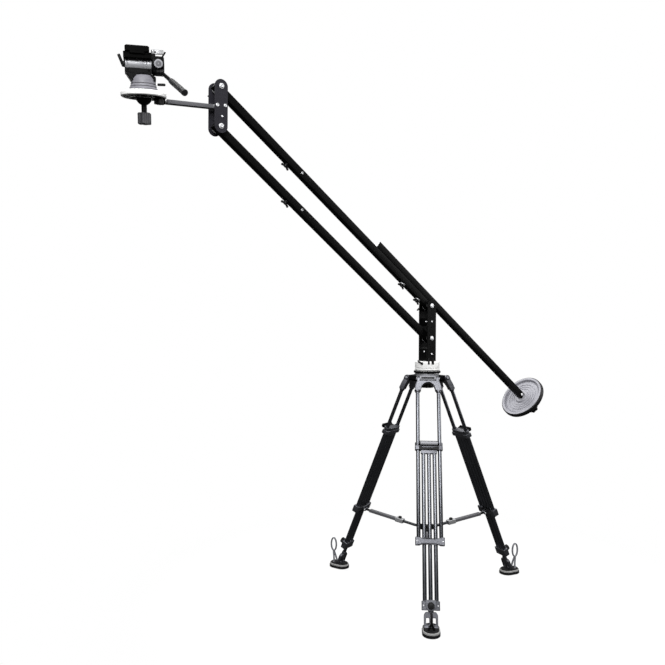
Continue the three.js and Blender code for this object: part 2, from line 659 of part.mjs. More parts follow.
// Turntable: the base stays on the crown and the top turns with the post.
function buildTurntable() {
  const baseBottom = crown.top + seat;
  const baseTop = baseBottom + table.baseHeight;
  const spigotTop = baseTop + table.spigotHeight;
  const base = turned([
    [0, baseBottom - table.studLength],
    [table.studRadius, baseBottom - table.studLength],
    [table.studRadius, baseBottom],
    [table.radius, baseBottom],
    [table.radius, baseTop],
    [table.spigotRadius, baseTop],
    [table.spigotRadius, spigotTop],
    [0, spigotTop],
  ]);
  piece(crane, "turntable_base", "white", base);
  const low = baseTop + seat;
  const high = low + table.topHeight - seat;
  const bore = table.spigotRadius + seat;
  let top = turned([
    [0, spigotTop + seat],
    [bore, spigotTop + seat],
    [bore, low],
    [table.radius, low],
    [table.radius, high - table.bevel],
    [table.radius - table.bevel, high],
    [0, high],
  ]);
  const lockZ = high - table.lockHeight;
  const frame = group(crane, [0, 0, lockZ], [0, 0, rad(panLockAngle)]);
  const hole = bar("y", table.lockRadius / 2 + turnGap, 2 * table.lockLength,
    [0, -table.radius, lockZ], smallSides).rotate([0, 0, panLockAngle]);
  top = cut(top, hole);
  piece(crane, "turntable_top", "white", top);
  const start = table.radius + seat;
  const lean = rad(panLockLean);
  const lockBody = join(
    bar("y", table.lockRadius / 2, table.lockLength + table.lockRadius,
      [0, -start, 0], smallSides),
    bar("y", table.lockRadius, table.lockRadius, [0, -start - table.lockRadius / 2, 0],
      smallSides),
    box(table.lockArmThick, table.lockRadius, table.lockArm,
      [Math.sin(lean) * table.lockArm / 2, -start - table.lockRadius / 2,
        Math.cos(lean) * table.lockArm / 2], [0, lean, 0]),
  );
  piece(frame, "pan_lock_lever", "plastic", lockBody);
}
const panLockAngle = -66;
const panLockLean = -60;

// A side plate with round ends, drawn with X across and Z up from the upper pivot.
function sidePlate(low, roundFoot) {
  const r = plate.halfWidth;
  const shape = new THREE.Shape();
  shape.absarc(0, 0, r, 0, Math.PI, false);
  if (roundFoot) {
    shape.lineTo(-r, low);
    shape.absarc(0, low, r, Math.PI, 2 * Math.PI, false);
  } else {
    shape.lineTo(-r, low);
    shape.lineTo(r, low);
  }
  shape.closePath();
  return upright(shape, plate.thickness, archSteps);
}

// One plate on its side of the booms, with its pivot holes. Side is -1 for near and 1 for far.
function platePair(low, roundFoot, side, lowerHole) {
  const y = side * (plateInner + plate.thickness / 2);
  let body = shifted(sidePlate(low, roundFoot), 0, y, 0);
  const hole = (z) => bar("y", boom.boreRadius, 3 * plate.thickness, [0, y, z]);
  body = cut(body, hole(0));
  if (lowerHole) body = cut(body, hole(-boom.pivotGap));
  return body;
}

// A fixed pivot bolt: bright cap on the near side, shaft through the boom.
function pivotBolt(z) {
  const shaft = plateInner + plate.thickness / 2;
  return join(
    bar("y", boom.boltRadius, plateInner + shaft, [0, (plateInner - shaft) / 2, z], smallSides),
    bar("y", plate.headRadius, plate.headHeight + overrun / 2,
      [0, -plateOuter - plate.headHeight / 2 + overrun / 4, z]),
  );
}

function smallScrew(x, z, side) {
  const height = plate.smallHeadHeight;
  return bar("y", plate.smallHeadRadius, height + overrun / 2,
    [x, side * (plateOuter + height / 2 - overrun / 4), z], smallSides);
}

function buildPost() {
  const frame = group(crane, [0, 0, plate.postHeight]);
  const low = plate.postBottom - plate.postHeight;
  const half = plate.halfWidth;
  const lowCentre = low + spacer.lowTop / 2;
  const midCentre = (spacer.midBottom + spacer.midTop) / 2;
  let near = platePair(low, false, -1, false);
  near = join(near, pivotBolt(-boom.pivotGap), smallScrew(0, lowCentre, -1),
    smallScrew(0, midCentre, -1));
  piece(frame, "post_plate_near", "satinBlack", near);
  let far = platePair(low, false, 1, true);
  const lowBlock = upright(outline([
    [-half, low],
    [half, low],
    [half, low + spacer.lowTop],
    [-spacer.lowFront, low + spacer.lowTop],
    [-half, low + spacer.lowFrontTop],
  ]), 2 * plateInner);
  const midBlock = upright(outline([
    [-spacer.midFront, spacer.midBottom],
    [half, spacer.midBottom],
    [half, spacer.midTop],
    [-spacer.midFront, spacer.midTop],
  ]), 2 * plateInner);
  const trim = box(4 * half, seat, 2 * plate.postHeight, [0, -plateInner + seat / 2, 0]);
  const studs = [-1, 1].map((side) => bar("z", plate.footRadius, plate.foot,
    [side * half / 2, 0, low + plate.foot / 2], smallSides));
  far = join(far, cut(lowBlock, trim), cut(midBlock, trim), ...studs);
  far = join(far, smallScrew(0, lowCentre, 1), smallScrew(0, midCentre, 1));
  piece(frame, "post_plate_far", "satinBlack", far);
  piece(frame, "post_clamp_bolt", "silver", clampBoltBody());
}

// A clamp bolt through an upper pivot, with a wing knob on the far side.
function clampBoltBody() {
  const far = plateOuter + clampBolt.nutGap;
  const near = plateOuter + clampBolt.nutGap;
  const wing = wings(clampBolt.wingSpan, clampBolt.wingThick, clampBolt.wingHeight,
    clampBolt.wingLength / 2).rotate([-90, 0, 0]);
  return join(
    bar("y", boom.boltRadius, near + far, [0, 0, 0], smallSides),
    bar("y", plate.headRadius, plate.headHeight, [0, -near - plate.headHeight / 2, 0]),
    bar("y", clampBolt.wingRadius, clampBolt.wingLength,
      [0, far + clampBolt.wingLength / 2, 0], smallSides),
    shifted(wing.rotate([0, clampBoltLean, 0]), 0, far, 0),
  );
}
const clampBoltLean = 35;

// A square tube along X from one station to another, open at both ends.
function squareTube(from, to, z = 0) {
  const half = boom.size / 2;
  const hollow = half - boom.wall;
  return cut(
    block([from, -half, z - half], [to, half, z + half]),
    block([from - overrun, -hollow, z - hollow], [to + overrun, hollow, z + hollow]),
  );
}

// A pivot through a boom: bush, pale washers and bolt bore.
function addPivot(tube, x) {
  const half = boom.size / 2;
  const reach = half + boom.washerThick;
  let body = tube.add(bar("y", boom.bushRadius, boom.size, [x, 0, 0]));
  for (const side of [-1, 1]) {
    body = body.add(bar("y", boom.washerRadius, boom.washerThick,
      [x, side * (half + boom.washerThick / 2), 0]));
  }
  return cut(body, bar("y", boom.boreRadius, 2 * reach + overrun, [x, 0, 0]));
}

// One boom: a rear length with the splice spigot, a front length over it, and the splice knob.
function buildBoom(level, frame) {
  const half = boom.size / 2;
  const inside = half - boom.wall;
  const fit = inside - seat;
  let rear = squareTube(-boom.seam, boom.tailEnd);
  rear = join(rear,
    block([-boom.seam, -inside, -inside], [-spigotTail, inside, inside]),
    block([-spigotHead, -fit, -fit], [-boom.seam, fit, fit]));
  const studHole = bar("z", clampKnob.studRadius + seat, clampKnob.bite * 2,
    [-knobStation, 0, -half], smallSides);
  for (const station of [boom.seam - spliceBoltInset, boom.seam - 2 * spliceBoltInset]) {
    rear = rear.add(bar("y", plate.smallHeadRadius, plate.smallHeadHeight + overrun,
      [-station, -half - (plate.smallHeadHeight - overrun) / 2, 0], smallSides));
  }
  rear = cut(addPivot(rear, 0), studHole);
  for (const station of level === "upper" ? [beam.clampFront, beam.clampRear] : []) {
    rear = cut(rear, bar("z", clampKnob.studRadius + seat, 2 * boom.size, [-station, 0, 0],
      smallSides));
  }
  piece(frame, `${level}_boom_rear`, "satinBlack", rear);
  let front = squareTube(-boom.length - boom.headEnd, -boom.seam - seat);
  front = cut(addPivot(front, -boom.length), studHole);
  piece(frame, `${level}_boom_front`, "satinBlack", front);
  const knobFrame = group(frame, [-knobStation, 0, -half - seat], [Math.PI, 0, 0]);
  piece(knobFrame, `${level}_splice_knob`, "plastic",
    clampKnobBody(clampKnob.bite - boom.wall / 2));
}
const spliceBoltInset = 36;

// A winged clamp screw, standing up from its seat, with the stud reaching below.
function clampKnobBody(bite) {
  return join(
    bar("z", clampKnob.studRadius, bite + clampKnob.ringHeight,
      [0, 0, (clampKnob.ringHeight - bite) / 2], smallSides),
    bar("z", clampKnob.ringRadius, clampKnob.ringHeight, [0, 0, clampKnob.ringHeight / 2],
      smallSides),
    bar("z", clampKnob.hubRadius, clampKnob.hubHeight,
      [0, 0, clampKnob.ringHeight + clampKnob.hubHeight / 2 - seat], smallSides),
    wings(clampKnob.wingSpan, clampKnob.wingThick, clampKnob.wingHeight,
      clampKnob.ringHeight + clampKnob.hubHeight / 2),
  );
}

// The counterweight beam on top of the upper boom, with its weight.
function buildCounterweight(frame) {
  const half = boom.size / 2;
  const inside = half - boom.wall;
  const z = boom.size + seat;
  let body = squareTube(-beam.front, beam.rear, z);
  const plug = block([beam.rear - beam.endPlug, -inside, z - inside],
    [beam.rear, inside, z + inside]);
  const spindle = bar("x", beam.spindleRadius, beam.spindleLength + beam.endPlug,
    [beam.rear + (beam.spindleLength - beam.endPlug) / 2, 0, z]);
  const bolt = bar("y", beam.boltRadius, beam.boltHeight + overrun,
    [beam.rear - beam.endPlug / 2, -half - (beam.boltHeight - overrun) / 2, z], smallSides);
  const cap = block([-beam.front - beam.capThick, -half, z - half],
    [-beam.front, half, z + half]);
  body = join(body, plug, spindle, bolt, cap);
  const slotHalf = clampKnob.studRadius + seat;
  const slot = block([-beam.clampFront - beam.travel - slotHalf, -slotHalf, 0],
    [-beam.clampRear + slotHalf, slotHalf, z]);
  piece(frame, "counter_beam", "satinBlack", cut(body, slot));
  const names = { beam_clamp_front: beam.clampFront, beam_clamp_rear: beam.clampRear };
  for (const [name, station] of Object.entries(names)) {
    const knobFrame = group(frame, [-station, 0, -half - seat], [Math.PI, 0, 0]);
    const nutTop = -boom.size - boom.wall - 3 * seat;
    const nut = bar("z", clampKnob.nutRadius, clampKnob.nutHeight,
      [0, 0, nutTop - clampKnob.nutHeight / 2], hexSides);
    piece(knobFrame, name, "plastic", clampKnobBody(-nutTop + seat).add(nut));
  }
  const face = beam.rear + seat;
  const out = weight.radius;
  const groove = out - weight.rimWidth;
  const web = weight.dish;
  const rise = weight.dish - weight.hubRise;
  const disc = turned([
    [weight.boreRadius, rise],
    [weight.hubRadius, rise],
    [weight.hubRadius + weight.grooveWidth, web],
    [groove - weight.grooveWidth, web],
    [groove - weight.grooveWidth, web + weight.grooveDepth],
    [groove, web + weight.grooveDepth],
    [groove, weight.grooveWidth / 2],
    [groove + weight.grooveWidth / 2, 0],
    [out - weight.grooveWidth, 0],
    [out, weight.grooveWidth],
    [out, weight.thick - weight.grooveWidth],
    [out - weight.grooveWidth, weight.thick],
    [weight.hubRadius + 2 * weight.grooveWidth, weight.thick],
    [weight.hubRadius + weight.grooveWidth, weight.thick - weight.grooveDepth],
    [weight.hubRadius, weight.thick],
    [weight.boreRadius, weight.thick],
    [weight.boreRadius, rise],
  ]);
  const discFrame = group(frame, [face, 0, z], [0, quarter, 0]);
  piece(discFrame, "weight_plate", "castIron", disc);
  const knobFrame = group(frame, [face + weight.thick + seat, 0, z], [0, quarter, 0]);
  let grip = shifted(lobedKnob(weight.headRadius, weight.headLength, weight.lobes,
    weight.lobeRadius), 0, 0, weight.sleeveLength);
  grip = grip.add(bar("z", weight.sleeveRadius, weight.sleeveLength + overrun,
    [0, 0, (weight.sleeveLength + overrun) / 2]));
  grip = cut(grip, bar("z", weight.boreRadius, 2 * beam.spindleLength - 2 * weight.thick,
    [0, 0, 0]));
  piece(knobFrame, "weight_knob", "plastic", grip);
}

function buildBooms() {
  const upper = group(crane, [0, 0, plate.postHeight], [0, pitch, 0]);
  buildBoom("upper", upper);
  buildCounterweight(upper);
  const lower = group(crane, [0, 0, plate.postHeight - boom.pivotGap], [0, pitch, 0]);
  buildBoom("lower", lower);
}

// Head bracket: two plates with round ends, the platform arm between them.
function buildHeadBracket() {
  const frame = group(crane, [headX, 0, headZ]);
  const low = -boom.pivotGap;
  const slope = rad(armPitch);
  const stations = [-bracket.boltSpan, bracket.boltSpan];
  const bolts = stations.map((x) => [x * Math.cos(slope), x * Math.sin(slope) - bracket.armDrop]);
  let near = platePair(low, true, -1, false);
  near = join(near, pivotBolt(low), smallScrew(bracket.spacerX, -bracket.spacerDrop, -1));
  for (const [x, z] of bolts) {
    near = near.add(bar("y", plate.headRadius - seat * 4, plate.smallHeadHeight + overrun / 2,
      [x, -plateOuter - plate.smallHeadHeight / 2 + overrun / 4, z]));
  }
  piece(frame, "head_plate_near", "satinBlack", near);
  let far = platePair(low, true, 1, true);
  far = far.add(bar("y", bracket.spacerRadius, 2 * plateInner,
    [bracket.spacerX, seat, -bracket.spacerDrop], smallSides));
  far = join(far, smallScrew(bracket.spacerX, -bracket.spacerDrop, 1));
  for (const [x, z] of bolts) far = far.add(smallScrew(x, z, 1));
  piece(frame, "head_plate_far", "satinBlack", far);
  piece(frame, "head_clamp_bolt", "silver", clampBoltBody());
  const armFrame = group(frame, [0, 0, -bracket.armDrop], [0, -slope, 0]);
  const stop = -bracket.reach + bowl.radius + bracket.armStop;
  let arm = block([stop, -bracket.armWidth / 2, -bracket.armHeight / 2],
    [bracket.armTail, bracket.armWidth / 2, bracket.armHeight / 2]);
  for (const x of stations) {
    arm = arm.add(bar("y", bracket.bossRadius, 2 * (plateInner - seat), [x, 0, 0]));
  }
  const spigotEnd = -bracket.reach + bracket.spigotInner;
  arm = arm.add(bar("x", bracket.spigotRadius, stop - spigotEnd + overrun,
    [(stop + spigotEnd + overrun) / 2, 0, 0]));
  piece(armFrame, "platform_arm", "darkMetal", arm);
  const roll = group(armFrame, [-bracket.reach, 0, 0], [rad(platformRoll), 0, 0]);
  const platform = group(roll, [0, 0, bracket.deckRise]);
  buildPlatform(platform);
  buildHead(platform);
}

// The round bowl platform, its sleeve on the arm's round end, and its small clamp knob.
function buildPlatform(frame) {
  let body = turned([
    [0, -bowl.height],
    [bowl.radius - bowl.lipRadius / 2, -bowl.height],
    [bowl.radius, -bowl.height + bowl.lipRadius / 2],
    [bowl.radius, -bowl.lipRadius],
    [bowl.radius - bowl.lipRadius, 0],
    [0, 0],
  ]);
  const ball = placed(new THREE.SphereGeometry(bowl.seatRadius, largeSides, roundSides),
    [0, 0, bowl.ballRise], [quarter, 0, 0]);
  const hole = bar("z", bowl.holeRadius, 4 * bowl.height, [0, 0, 0]);
  const boss = bar("z", bowl.bossRadius, bowl.bossHeight + overrun,
    [bowl.bossX, -bowl.bossY, -bowl.height - bowl.bossHeight / 2 + overrun / 2], smallSides);
  const sleeve = block([bowl.clampInner, -bowl.clampHalf, -bracket.deckRise - bowl.clampDrop],
    [bowl.clampOuter, bowl.clampHalf, -bowl.height + overrun]);
  const sleeveBore = bar("x", bracket.spigotRadius + seat, 2 * bowl.clampOuter,
    [bowl.clampInner + bowl.clampOuter, 0, -bracket.deckRise]);
  body = join(cut(body, ball, hole), boss, cut(sleeve, sleeveBore));
  const knobTop = -bowl.height - bowl.bossHeight - seat;
  const stud = clampKnob.studRadius;
  body = cut(body, bar("z", stud + seat, bowl.height, [bowl.bossX, -bowl.bossY, knobTop],
    smallSides));
  piece(frame, "platform_bowl", "white", body);
  const knobFrame = group(frame, [bowl.bossX, -bowl.bossY, knobTop], [Math.PI, 0, 0]);
  const grip = join(
    lobedKnob(bowl.knobRadius, bowl.knobHeight, knobLobes, stud),
    bar("z", stud, 2 * stud, [0, 0, 0], smallSides),
  );
  piece(knobFrame, "bowl_clamp_knob", "plastic", grip);
}

// The fluid head, from its levelling ball up.
function buildHead(frame) {
  const ballRadius = bowl.seatRadius - bowl.ballGap;
  const reachDown = head.ballBottom;
  let ball = placed(new THREE.SphereGeometry(ballRadius, largeSides, roundSides),
    [0, 0, bowl.ballRise], [quarter, 0, 0]);
  ball = ball.intersect(block([-bowl.seatRadius, -bowl.seatRadius, -reachDown],
    [bowl.seatRadius, bowl.seatRadius, head.ringLift + overrun]));
  const ringTop = head.ringLift + head.ringHeight;
  const stepTop = ringTop + head.stepHeight;
  const skirt = turned([
    [0, head.ringLift],
    [head.ringRadius, head.ringLift],
    [head.ringRadius, ringTop - head.stepHeight / 3],
    [head.stepRadius, ringTop],
    [head.stepRadius, stepTop],
    [head.skirtRadius, head.skirtHeight],
    [head.coneRadius, head.coneHeight],
    [head.domeRadius, head.domeHeight],
    [0, head.domeTop],
  ]);
  const clampTop = -bowl.height - head.cupGap;
  const stud = clampKnob.studRadius;
  const studEnd = clampTop - head.cupHeight;
  const studBar = bar("z", stud, studEnd < 0 ? -studEnd - reachDown + overrun : overrun,
    [0, 0, (studEnd - reachDown + overrun) / 2], smallSides);
  const leverZ = panLever.rise;
  const leverHole = bar("y", panLever.stem / 2 + seat, 2 * panLever.stem,
    [0, -panLever.start + panLever.stem, leverZ], smallSides).rotate([0, 0, panLeverAngle]);
  piece(frame, "head_base", "greyMetal", cut(join(ball, skirt, studBar), leverHole));

  const cupBottom = clampTop - head.cupHeight;
  const stemEnd = cupBottom - head.stemLength;
  let cup = turned([
    [0, stemEnd],
    [head.stemRadius, stemEnd],
    [head.stemRadius, cupBottom],
    [head.cupRadius * cupShares.waist, cupBottom + head.cupHeight / 4],
    [head.cupRadius, clampTop - head.cupHeight / 3],
    [head.cupRadius, clampTop],
    [0, clampTop],
  ]);
  cup = cup.add(shifted(lobedKnob(head.knobRadius, head.knobHeight, knobLobes,
    head.knobLobeRadius), 0, 0, stemEnd - head.knobHeight));
  cup = cut(cup, bar("z", stud + seat, 2 * (head.cupHeight + seat), [0, 0, clampTop],
    smallSides));
  piece(frame, "ball_clamp_knob", "plastic", cup);

  const leverFrame = group(frame, [0, 0, leverZ], [0, 0, rad(panLeverAngle)]);
  const stemRadius = panLever.stem / 2;
  const panLock = join(
    bar("y", stemRadius, 2 * panLever.stem, [0, -panLever.start + seat, 0], smallSides),
    box(panLever.width, panLever.length, panLever.thick,
      [0, -panLever.start - panLever.stem - panLever.length / 2 + seat, 0]),
  );
  piece(leverFrame, "head_pan_lock", "plastic", panLock);
  buildHeadTop(group(frame, [0, 0, 0], [0, 0, rad(headYaw)]));
}
const panLeverAngle = 58;
const cupShares = { waist: 0.72 };
const pocketClear = 0.7;

function buildHeadTop(frame) {
  const pocket = turned([
    [0, 0],
    [head.ringRadius + pocketClear, 0],
    [head.stepRadius + pocketClear, head.ringLift + head.ringHeight + head.stepHeight],
    [head.skirtRadius + pocketClear, head.skirtHeight + pocketClear],
    [head.coneRadius + pocketClear, head.coneHeight + pocketClear],
    [head.domeRadius + pocketClear, head.domeHeight + pocketClear],
    [0, head.domeTop + pocketClear],
  ]);
  const shape = outline([
    [head.bodyLeft, head.bodyTop],
    [head.bodyLeft, head.lobeShoulder],
    [-head.lobeHalf, head.lobeBottom],
    [head.lobeHalf, head.lobeBottom],
    [head.lobeHalf, head.lobeRight],
    [head.bodyRight, head.lobeRight + 2 * overrun],
    [head.bodyRight, head.bodyTop],
  ]);
  const drumLength = head.drumRight - head.drumLeft;
  const drumMid = (head.drumRight + head.drumLeft) / 2;
  const trough = bar("x", head.drumRadius + seat, 2 * drumLength, [drumMid, 0, head.tiltHeight],
    largeSides);
  const body = cut(upright(shape, 2 * head.bodyHalfDepth), pocket, trough);
  piece(frame, "head_pan_body", "satinBlack", body);

  const tilt = group(frame, [0, 0, head.tiltHeight]);
  const housingLength = head.housingRight - head.housingLeft;
  const drum = bar("x", head.drumRadius, drumLength, [drumMid, 0, 0], largeSides);
  const housing = bar("x", head.housingRadius, housingLength,
    [(head.housingLeft + head.housingRight) / 2, 0, 0], largeSides);
  const axle = bar("x", head.drumRadius / 2, drumLength,
    [(head.drumLeft + head.housingRight) / 2, 0, 0]);
  const deck = block([head.deckLeft, -head.deckHalf, head.deckBottom],
    [head.deckRight, head.deckHalf, head.deckTop]);
  const deckMid = (head.deckLeft + head.deckRight) / 2;
  const rail = block([deckMid - head.railHalf - seat, -2 * head.deckHalf,
    head.deckTop - head.railDepth], [deckMid + head.railHalf + seat, 2 * head.deckHalf,
    head.deckTop + overrun]);
  const boss = bar("y", headKnob.bossRadius, headKnob.bossReach,
    [housingMid(), -headKnob.bossReach / 2, 0], smallSides);
  const pinHole = bar("y", headKnob.pin + turnGap, headKnob.bossReach,
    [housingMid(), -headKnob.bossReach, 0], smallSides);
  const tiltPinHole = bar("x", headKnob.pin + turnGap, head.drumRadius,
    [head.drumLeft, 0, 0], smallSides);
  const leverX = head.tabRight - plateLever.hubRadius;
  const tab = block([head.deckRight - overrun, plateLeverY - head.tabHalf, head.deckBottom],
    [head.tabRight, plateLeverY + head.tabHalf, head.deckTop]);
  const leverPinHole = bar("z", headKnob.pin, plateLever.hubHeight,
    [leverX, plateLeverY, head.deckTop], smallSides);
  const lugStart = handle.mountX - handle.lugLength;
  const lug = join(
    bar("x", handle.rosetteRadius, handle.lugLength,
      [lugStart + handle.lugLength / 2, -handle.mountY, handle.mountZ]),
    block([lugStart, -handle.mountY, handle.mountZ - handle.webWidth / 2],
      [handle.mountX, -handle.mountY + handle.webRise, handle.mountZ + handle.webWidth / 2]),
  );
  let unit = join(drum, housing, axle, cut(deck, rail), tab, boss, lug);
  unit = cut(unit, pinHole, tiltPinHole, leverPinHole);
  piece(tilt, "head_tilt_drum", "darkMetal", unit);

  const railBottom = head.deckTop - head.railDepth + seat;
  const plateBody = join(
    block([deckMid - head.railHalf, -head.plateHalf, railBottom],
      [deckMid + head.railHalf, head.plateHalf, head.deckTop + 2 * seat]),
    block([deckMid - head.railHalf - head.plateInset, -head.plateHalf, head.deckTop + seat],
      [deckMid + head.railHalf + head.plateInset, head.plateHalf, head.plateTop - head.railDepth]),
    bar("z", head.screwRadius, head.plateTop - head.deckTop,
      [deckMid, 0, (head.plateTop + head.deckTop) / 2], smallSides),
  );
  piece(tilt, "camera_plate", "satinBlack", plateBody);

  const knobFrame = group(tilt, [housingMid(), -headKnob.bossReach - seat, 0], [quarter, 0, 0]);
  const dial = join(
    bar("z", headKnob.radius, headKnob.length, [0, 0, headKnob.length / 2]),
    bar("z", headKnob.pin, 2 * headKnob.pin, [0, 0, 0], smallSides),
  );
  piece(knobFrame, "head_drag_knob", "silver", dial);

  const leverFrame = group(tilt, [head.drumLeft - seat, 0, 0], [rad(tiltLever.lean), 0, 0]);
  const flare = rad(tiltLever.flare);
  const tiltLock = join(
    bar("x", tiltLever.hubRadius, tiltLever.hubLength, [-tiltLever.hubLength / 2, 0, 0],
      smallSides),
    bar("x", headKnob.pin, 2 * headKnob.pin, [0, 0, 0], smallSides),
    box(tiltLever.armThick, tiltLever.armWidth, tiltLever.arm + tiltLever.hubRadius,
      [-tiltLever.hubLength - (tiltLever.arm - tiltLever.hubRadius) * Math.sin(flare) / 2, 0,
        (tiltLever.arm - tiltLever.hubRadius) / 2], [0, -flare, 0]),
  );
  piece(leverFrame, "head_tilt_lock", "plastic", tiltLock);

  const plateLeverFrame = group(tilt, [leverX, plateLeverY, head.deckTop + seat]);
  const catchBody = join(
    bar("z", plateLever.hubRadius, plateLever.hubHeight, [0, 0, plateLever.hubHeight / 2],
      smallSides),
    bar("z", headKnob.pin - seat, plateLever.hubHeight / 2, [0, 0, 0], smallSides),
    block([0, -plateLever.armWidth / 2, 0],
      [plateLever.hubRadius + plateLever.arm, plateLever.armWidth / 2, plateLever.armThick]),
  );
  piece(plateLeverFrame, "plate_lock_lever", "pale", catchBody);
  buildHandle(tilt);
}
const plateLeverY = -20;

function housingMid() {
  return (head.housingLeft + head.housingRight) / 2;
}

// The pan handle: clamp ring beside the lug, rod and grip, pointing back, out and down.
function buildHandle(tilt) {
  const frame = group(tilt, [handle.mountX + seat, -handle.mountY, handle.mountZ]);
  const middleX = handle.ringLength / 2;
  const clampRing = bar("x", handle.rosetteRadius, handle.ringLength, [middleX, 0, 0]);
  const along = (distance, radius, length) => {
    const geometry = new THREE.CylinderGeometry(radius, radius, length, roundSides);
    geometry.translate(0, -distance - length / 2, 0);
    geometry.rotateX(rad(handleDrop));
    geometry.rotateZ(rad(handleSplay));
    return placed(geometry, [middleX, 0, 0]);
  };
  const gripEnd = handle.rodLength + handle.gripLength;
  const body = join(
    clampRing,
    along(0, handle.rodRadius, handle.rodLength + overrun),
    along(handle.rodLength, handle.gripRadius, handle.gripLength),
    along(gripEnd - handle.capLength, handle.capRadius, handle.capLength + overrun),
  );
  piece(frame, "pan_handle", "plastic", body);
}

buildCrown();
buildCrownClamp();
buildLegs();
buildSpreaderHub();
buildTurntable();
buildPost();
buildBooms();
buildHeadBracket();

// Stand the crane centred over its origin, with its feet at zero.
const bounds = new THREE.Box3().setFromObject(crane, true);
const middle = bounds.getCenter(new THREE.Vector3());
crane.position.set(-middle.x, -middle.y, -bounds.min.z);

export default crane;
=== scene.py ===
"""Looks of a camera jib crane on its tripod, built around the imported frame.

Lengths are in millimetres in the frame of each sub-assembly and become metres on the mesh.
"""
from __future__ import annotations

import json
import logging
import math
from dataclasses import dataclass
from enum import Enum
from typing import Iterable, Sequence

import bmesh
import bpy
from mathutils import Matrix, Vector
from mathutils.geometry import tessellate_polygon

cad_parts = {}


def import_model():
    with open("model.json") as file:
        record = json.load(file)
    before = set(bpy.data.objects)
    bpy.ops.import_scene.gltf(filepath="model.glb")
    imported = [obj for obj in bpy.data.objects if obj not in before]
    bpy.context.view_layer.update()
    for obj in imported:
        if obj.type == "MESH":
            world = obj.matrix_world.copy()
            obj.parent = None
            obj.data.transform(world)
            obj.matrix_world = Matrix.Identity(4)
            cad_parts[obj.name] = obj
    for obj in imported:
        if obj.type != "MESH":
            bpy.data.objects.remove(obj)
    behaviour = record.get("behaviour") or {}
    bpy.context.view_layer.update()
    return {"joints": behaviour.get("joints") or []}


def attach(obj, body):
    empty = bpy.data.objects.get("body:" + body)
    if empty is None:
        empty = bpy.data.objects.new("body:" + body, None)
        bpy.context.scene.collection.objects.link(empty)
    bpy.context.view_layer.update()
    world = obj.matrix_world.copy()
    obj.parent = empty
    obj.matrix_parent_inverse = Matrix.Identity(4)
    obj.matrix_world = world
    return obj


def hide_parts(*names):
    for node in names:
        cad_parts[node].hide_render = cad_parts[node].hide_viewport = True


LOG = logging.getLogger("jib")
MM = 0.001
Outline = Sequence[tuple[float, float]]
Point = tuple[float, float, float]
LEGS = ("front", "right", "left")

# Corners flatter than this aren't rounded.
STRAIGHT = math.radians(155)
# The most of a side that the round of one of its corners takes.
ROUND_SHARE = 0.45
# Points closer than this, in metres, are one.
MERGE_DISTANCE = 1e-7
# Edges sharper than this stay sharp.
SHARP_ANGLE = math.radians(32)
# The pointiness at which edge wear starts and is full, and how much it takes.
EDGE_POINTINESS = (0.53, 0.62)
EDGE_WEAR = 0.45
# The parts of the cloudy noise that give spots and a change of roughness.
SPOT_RANGE = (0.35, 0.7)
ROUGH_RANGE = (0.3, 0.7)
# How deep a bolt on a round face is sunk.
SUNK = 0.5
# The inner and outer face of the cheeks that hold a spreader arm.
CHEEK_IN, CHEEK_OUT = 5.4, 9.3
# The platform arm: its drop below the pivot, its slope and its bolts' distance from the middle.
ARM_DROP = 77.6
ARM_SLOPE = 0.0857
ARM_BOLT = 17
# How far the levelling ball's centre is above the platform.
BALL_RISE = 22
# Where the drag dial is along the tilt axis.
DIAL_X = 55.5


class Axis(Enum):
    """The axis a profile turns about, or that an outline is thickened along."""

    X = ((0, 1, 0), (0, 0, 1), (1, 0, 0))
    Y = ((1, 0, 0), (0, 0, 1), (0, 1, 0))
    Z = ((1, 0, 0), (0, 1, 0), (0, 0, 1))

    def matrix(self, at: Point) -> Matrix:
        """Places an outline's two directions and its height on this axis, from a point."""
        columns = Matrix(self.value).transposed().to_4x4()
        return Matrix.Translation(at) @ columns


class Surface(Enum):
    """How a finish's surface was made, which sets its pattern."""

    PAINTED = "painted"
    ANODISED = "anodised"
    MOULDED = "moulded"
    CAST = "cast"
    TURNED = "turned"


def srgb(code: str) -> tuple[float, float, float, float]:
    """Turns an sRGB hex code to a linear colour.

    Args:
        code: six hex digits.

    Returns:
        Linear red, green, blue and an alpha of 1.
    """
    parts = [int(code[i:i + 2], 16) / 255 for i in (0, 2, 4)]
    linear = [c / 12.92 if c <= 0.04045 else ((c + 0.055) / 1.055) ** 2.4 for c in parts]
    return (*linear, 1.0)


def add_node(tree: bpy.types.NodeTree, kind: str, settings: dict | None = None,
             inputs: dict | None = None) -> bpy.types.Node:
    """Adds a node with its settings and inputs.

    Args:
        tree: the node tree.
        kind: Blender's node type.
        settings: node properties by name.
        inputs: socket values, or output sockets to link, by input name or index.

    Returns:
        The new node.
    """
    node = tree.nodes.new(kind)
    for name, value in (settings or {}).items():
        setattr(node, name, value)
    for name, value in (inputs or {}).items():
        if isinstance(value, bpy.types.NodeSocket):
            tree.links.new(value, node.inputs[name])
        else:
            node.inputs[name].default_value = value
    return node


def map_range(tree: bpy.types.NodeTree, value: bpy.types.NodeSocket, source: tuple[float, float],
              target: tuple, smooth: bool = False) -> bpy.types.NodeSocket:
    """Adds a node that maps a value from one range to another.

    Args:
        tree: the node tree.
        value: the value to map.
        source: the range that the value comes from.
        target: the range it goes to, as numbers or output sockets.
        smooth: whether it eases in and out.

    Returns:
        The mapped value.
    """
    settings = {"interpolation_type": "SMOOTHSTEP"} if smooth else {}
    return add_node(tree, "ShaderNodeMapRange", settings, {
        "Value": value, "From Min": source[0], "From Max": source[1],
        "To Min": target[0], "To Max": target[1]}).outputs["Result"]


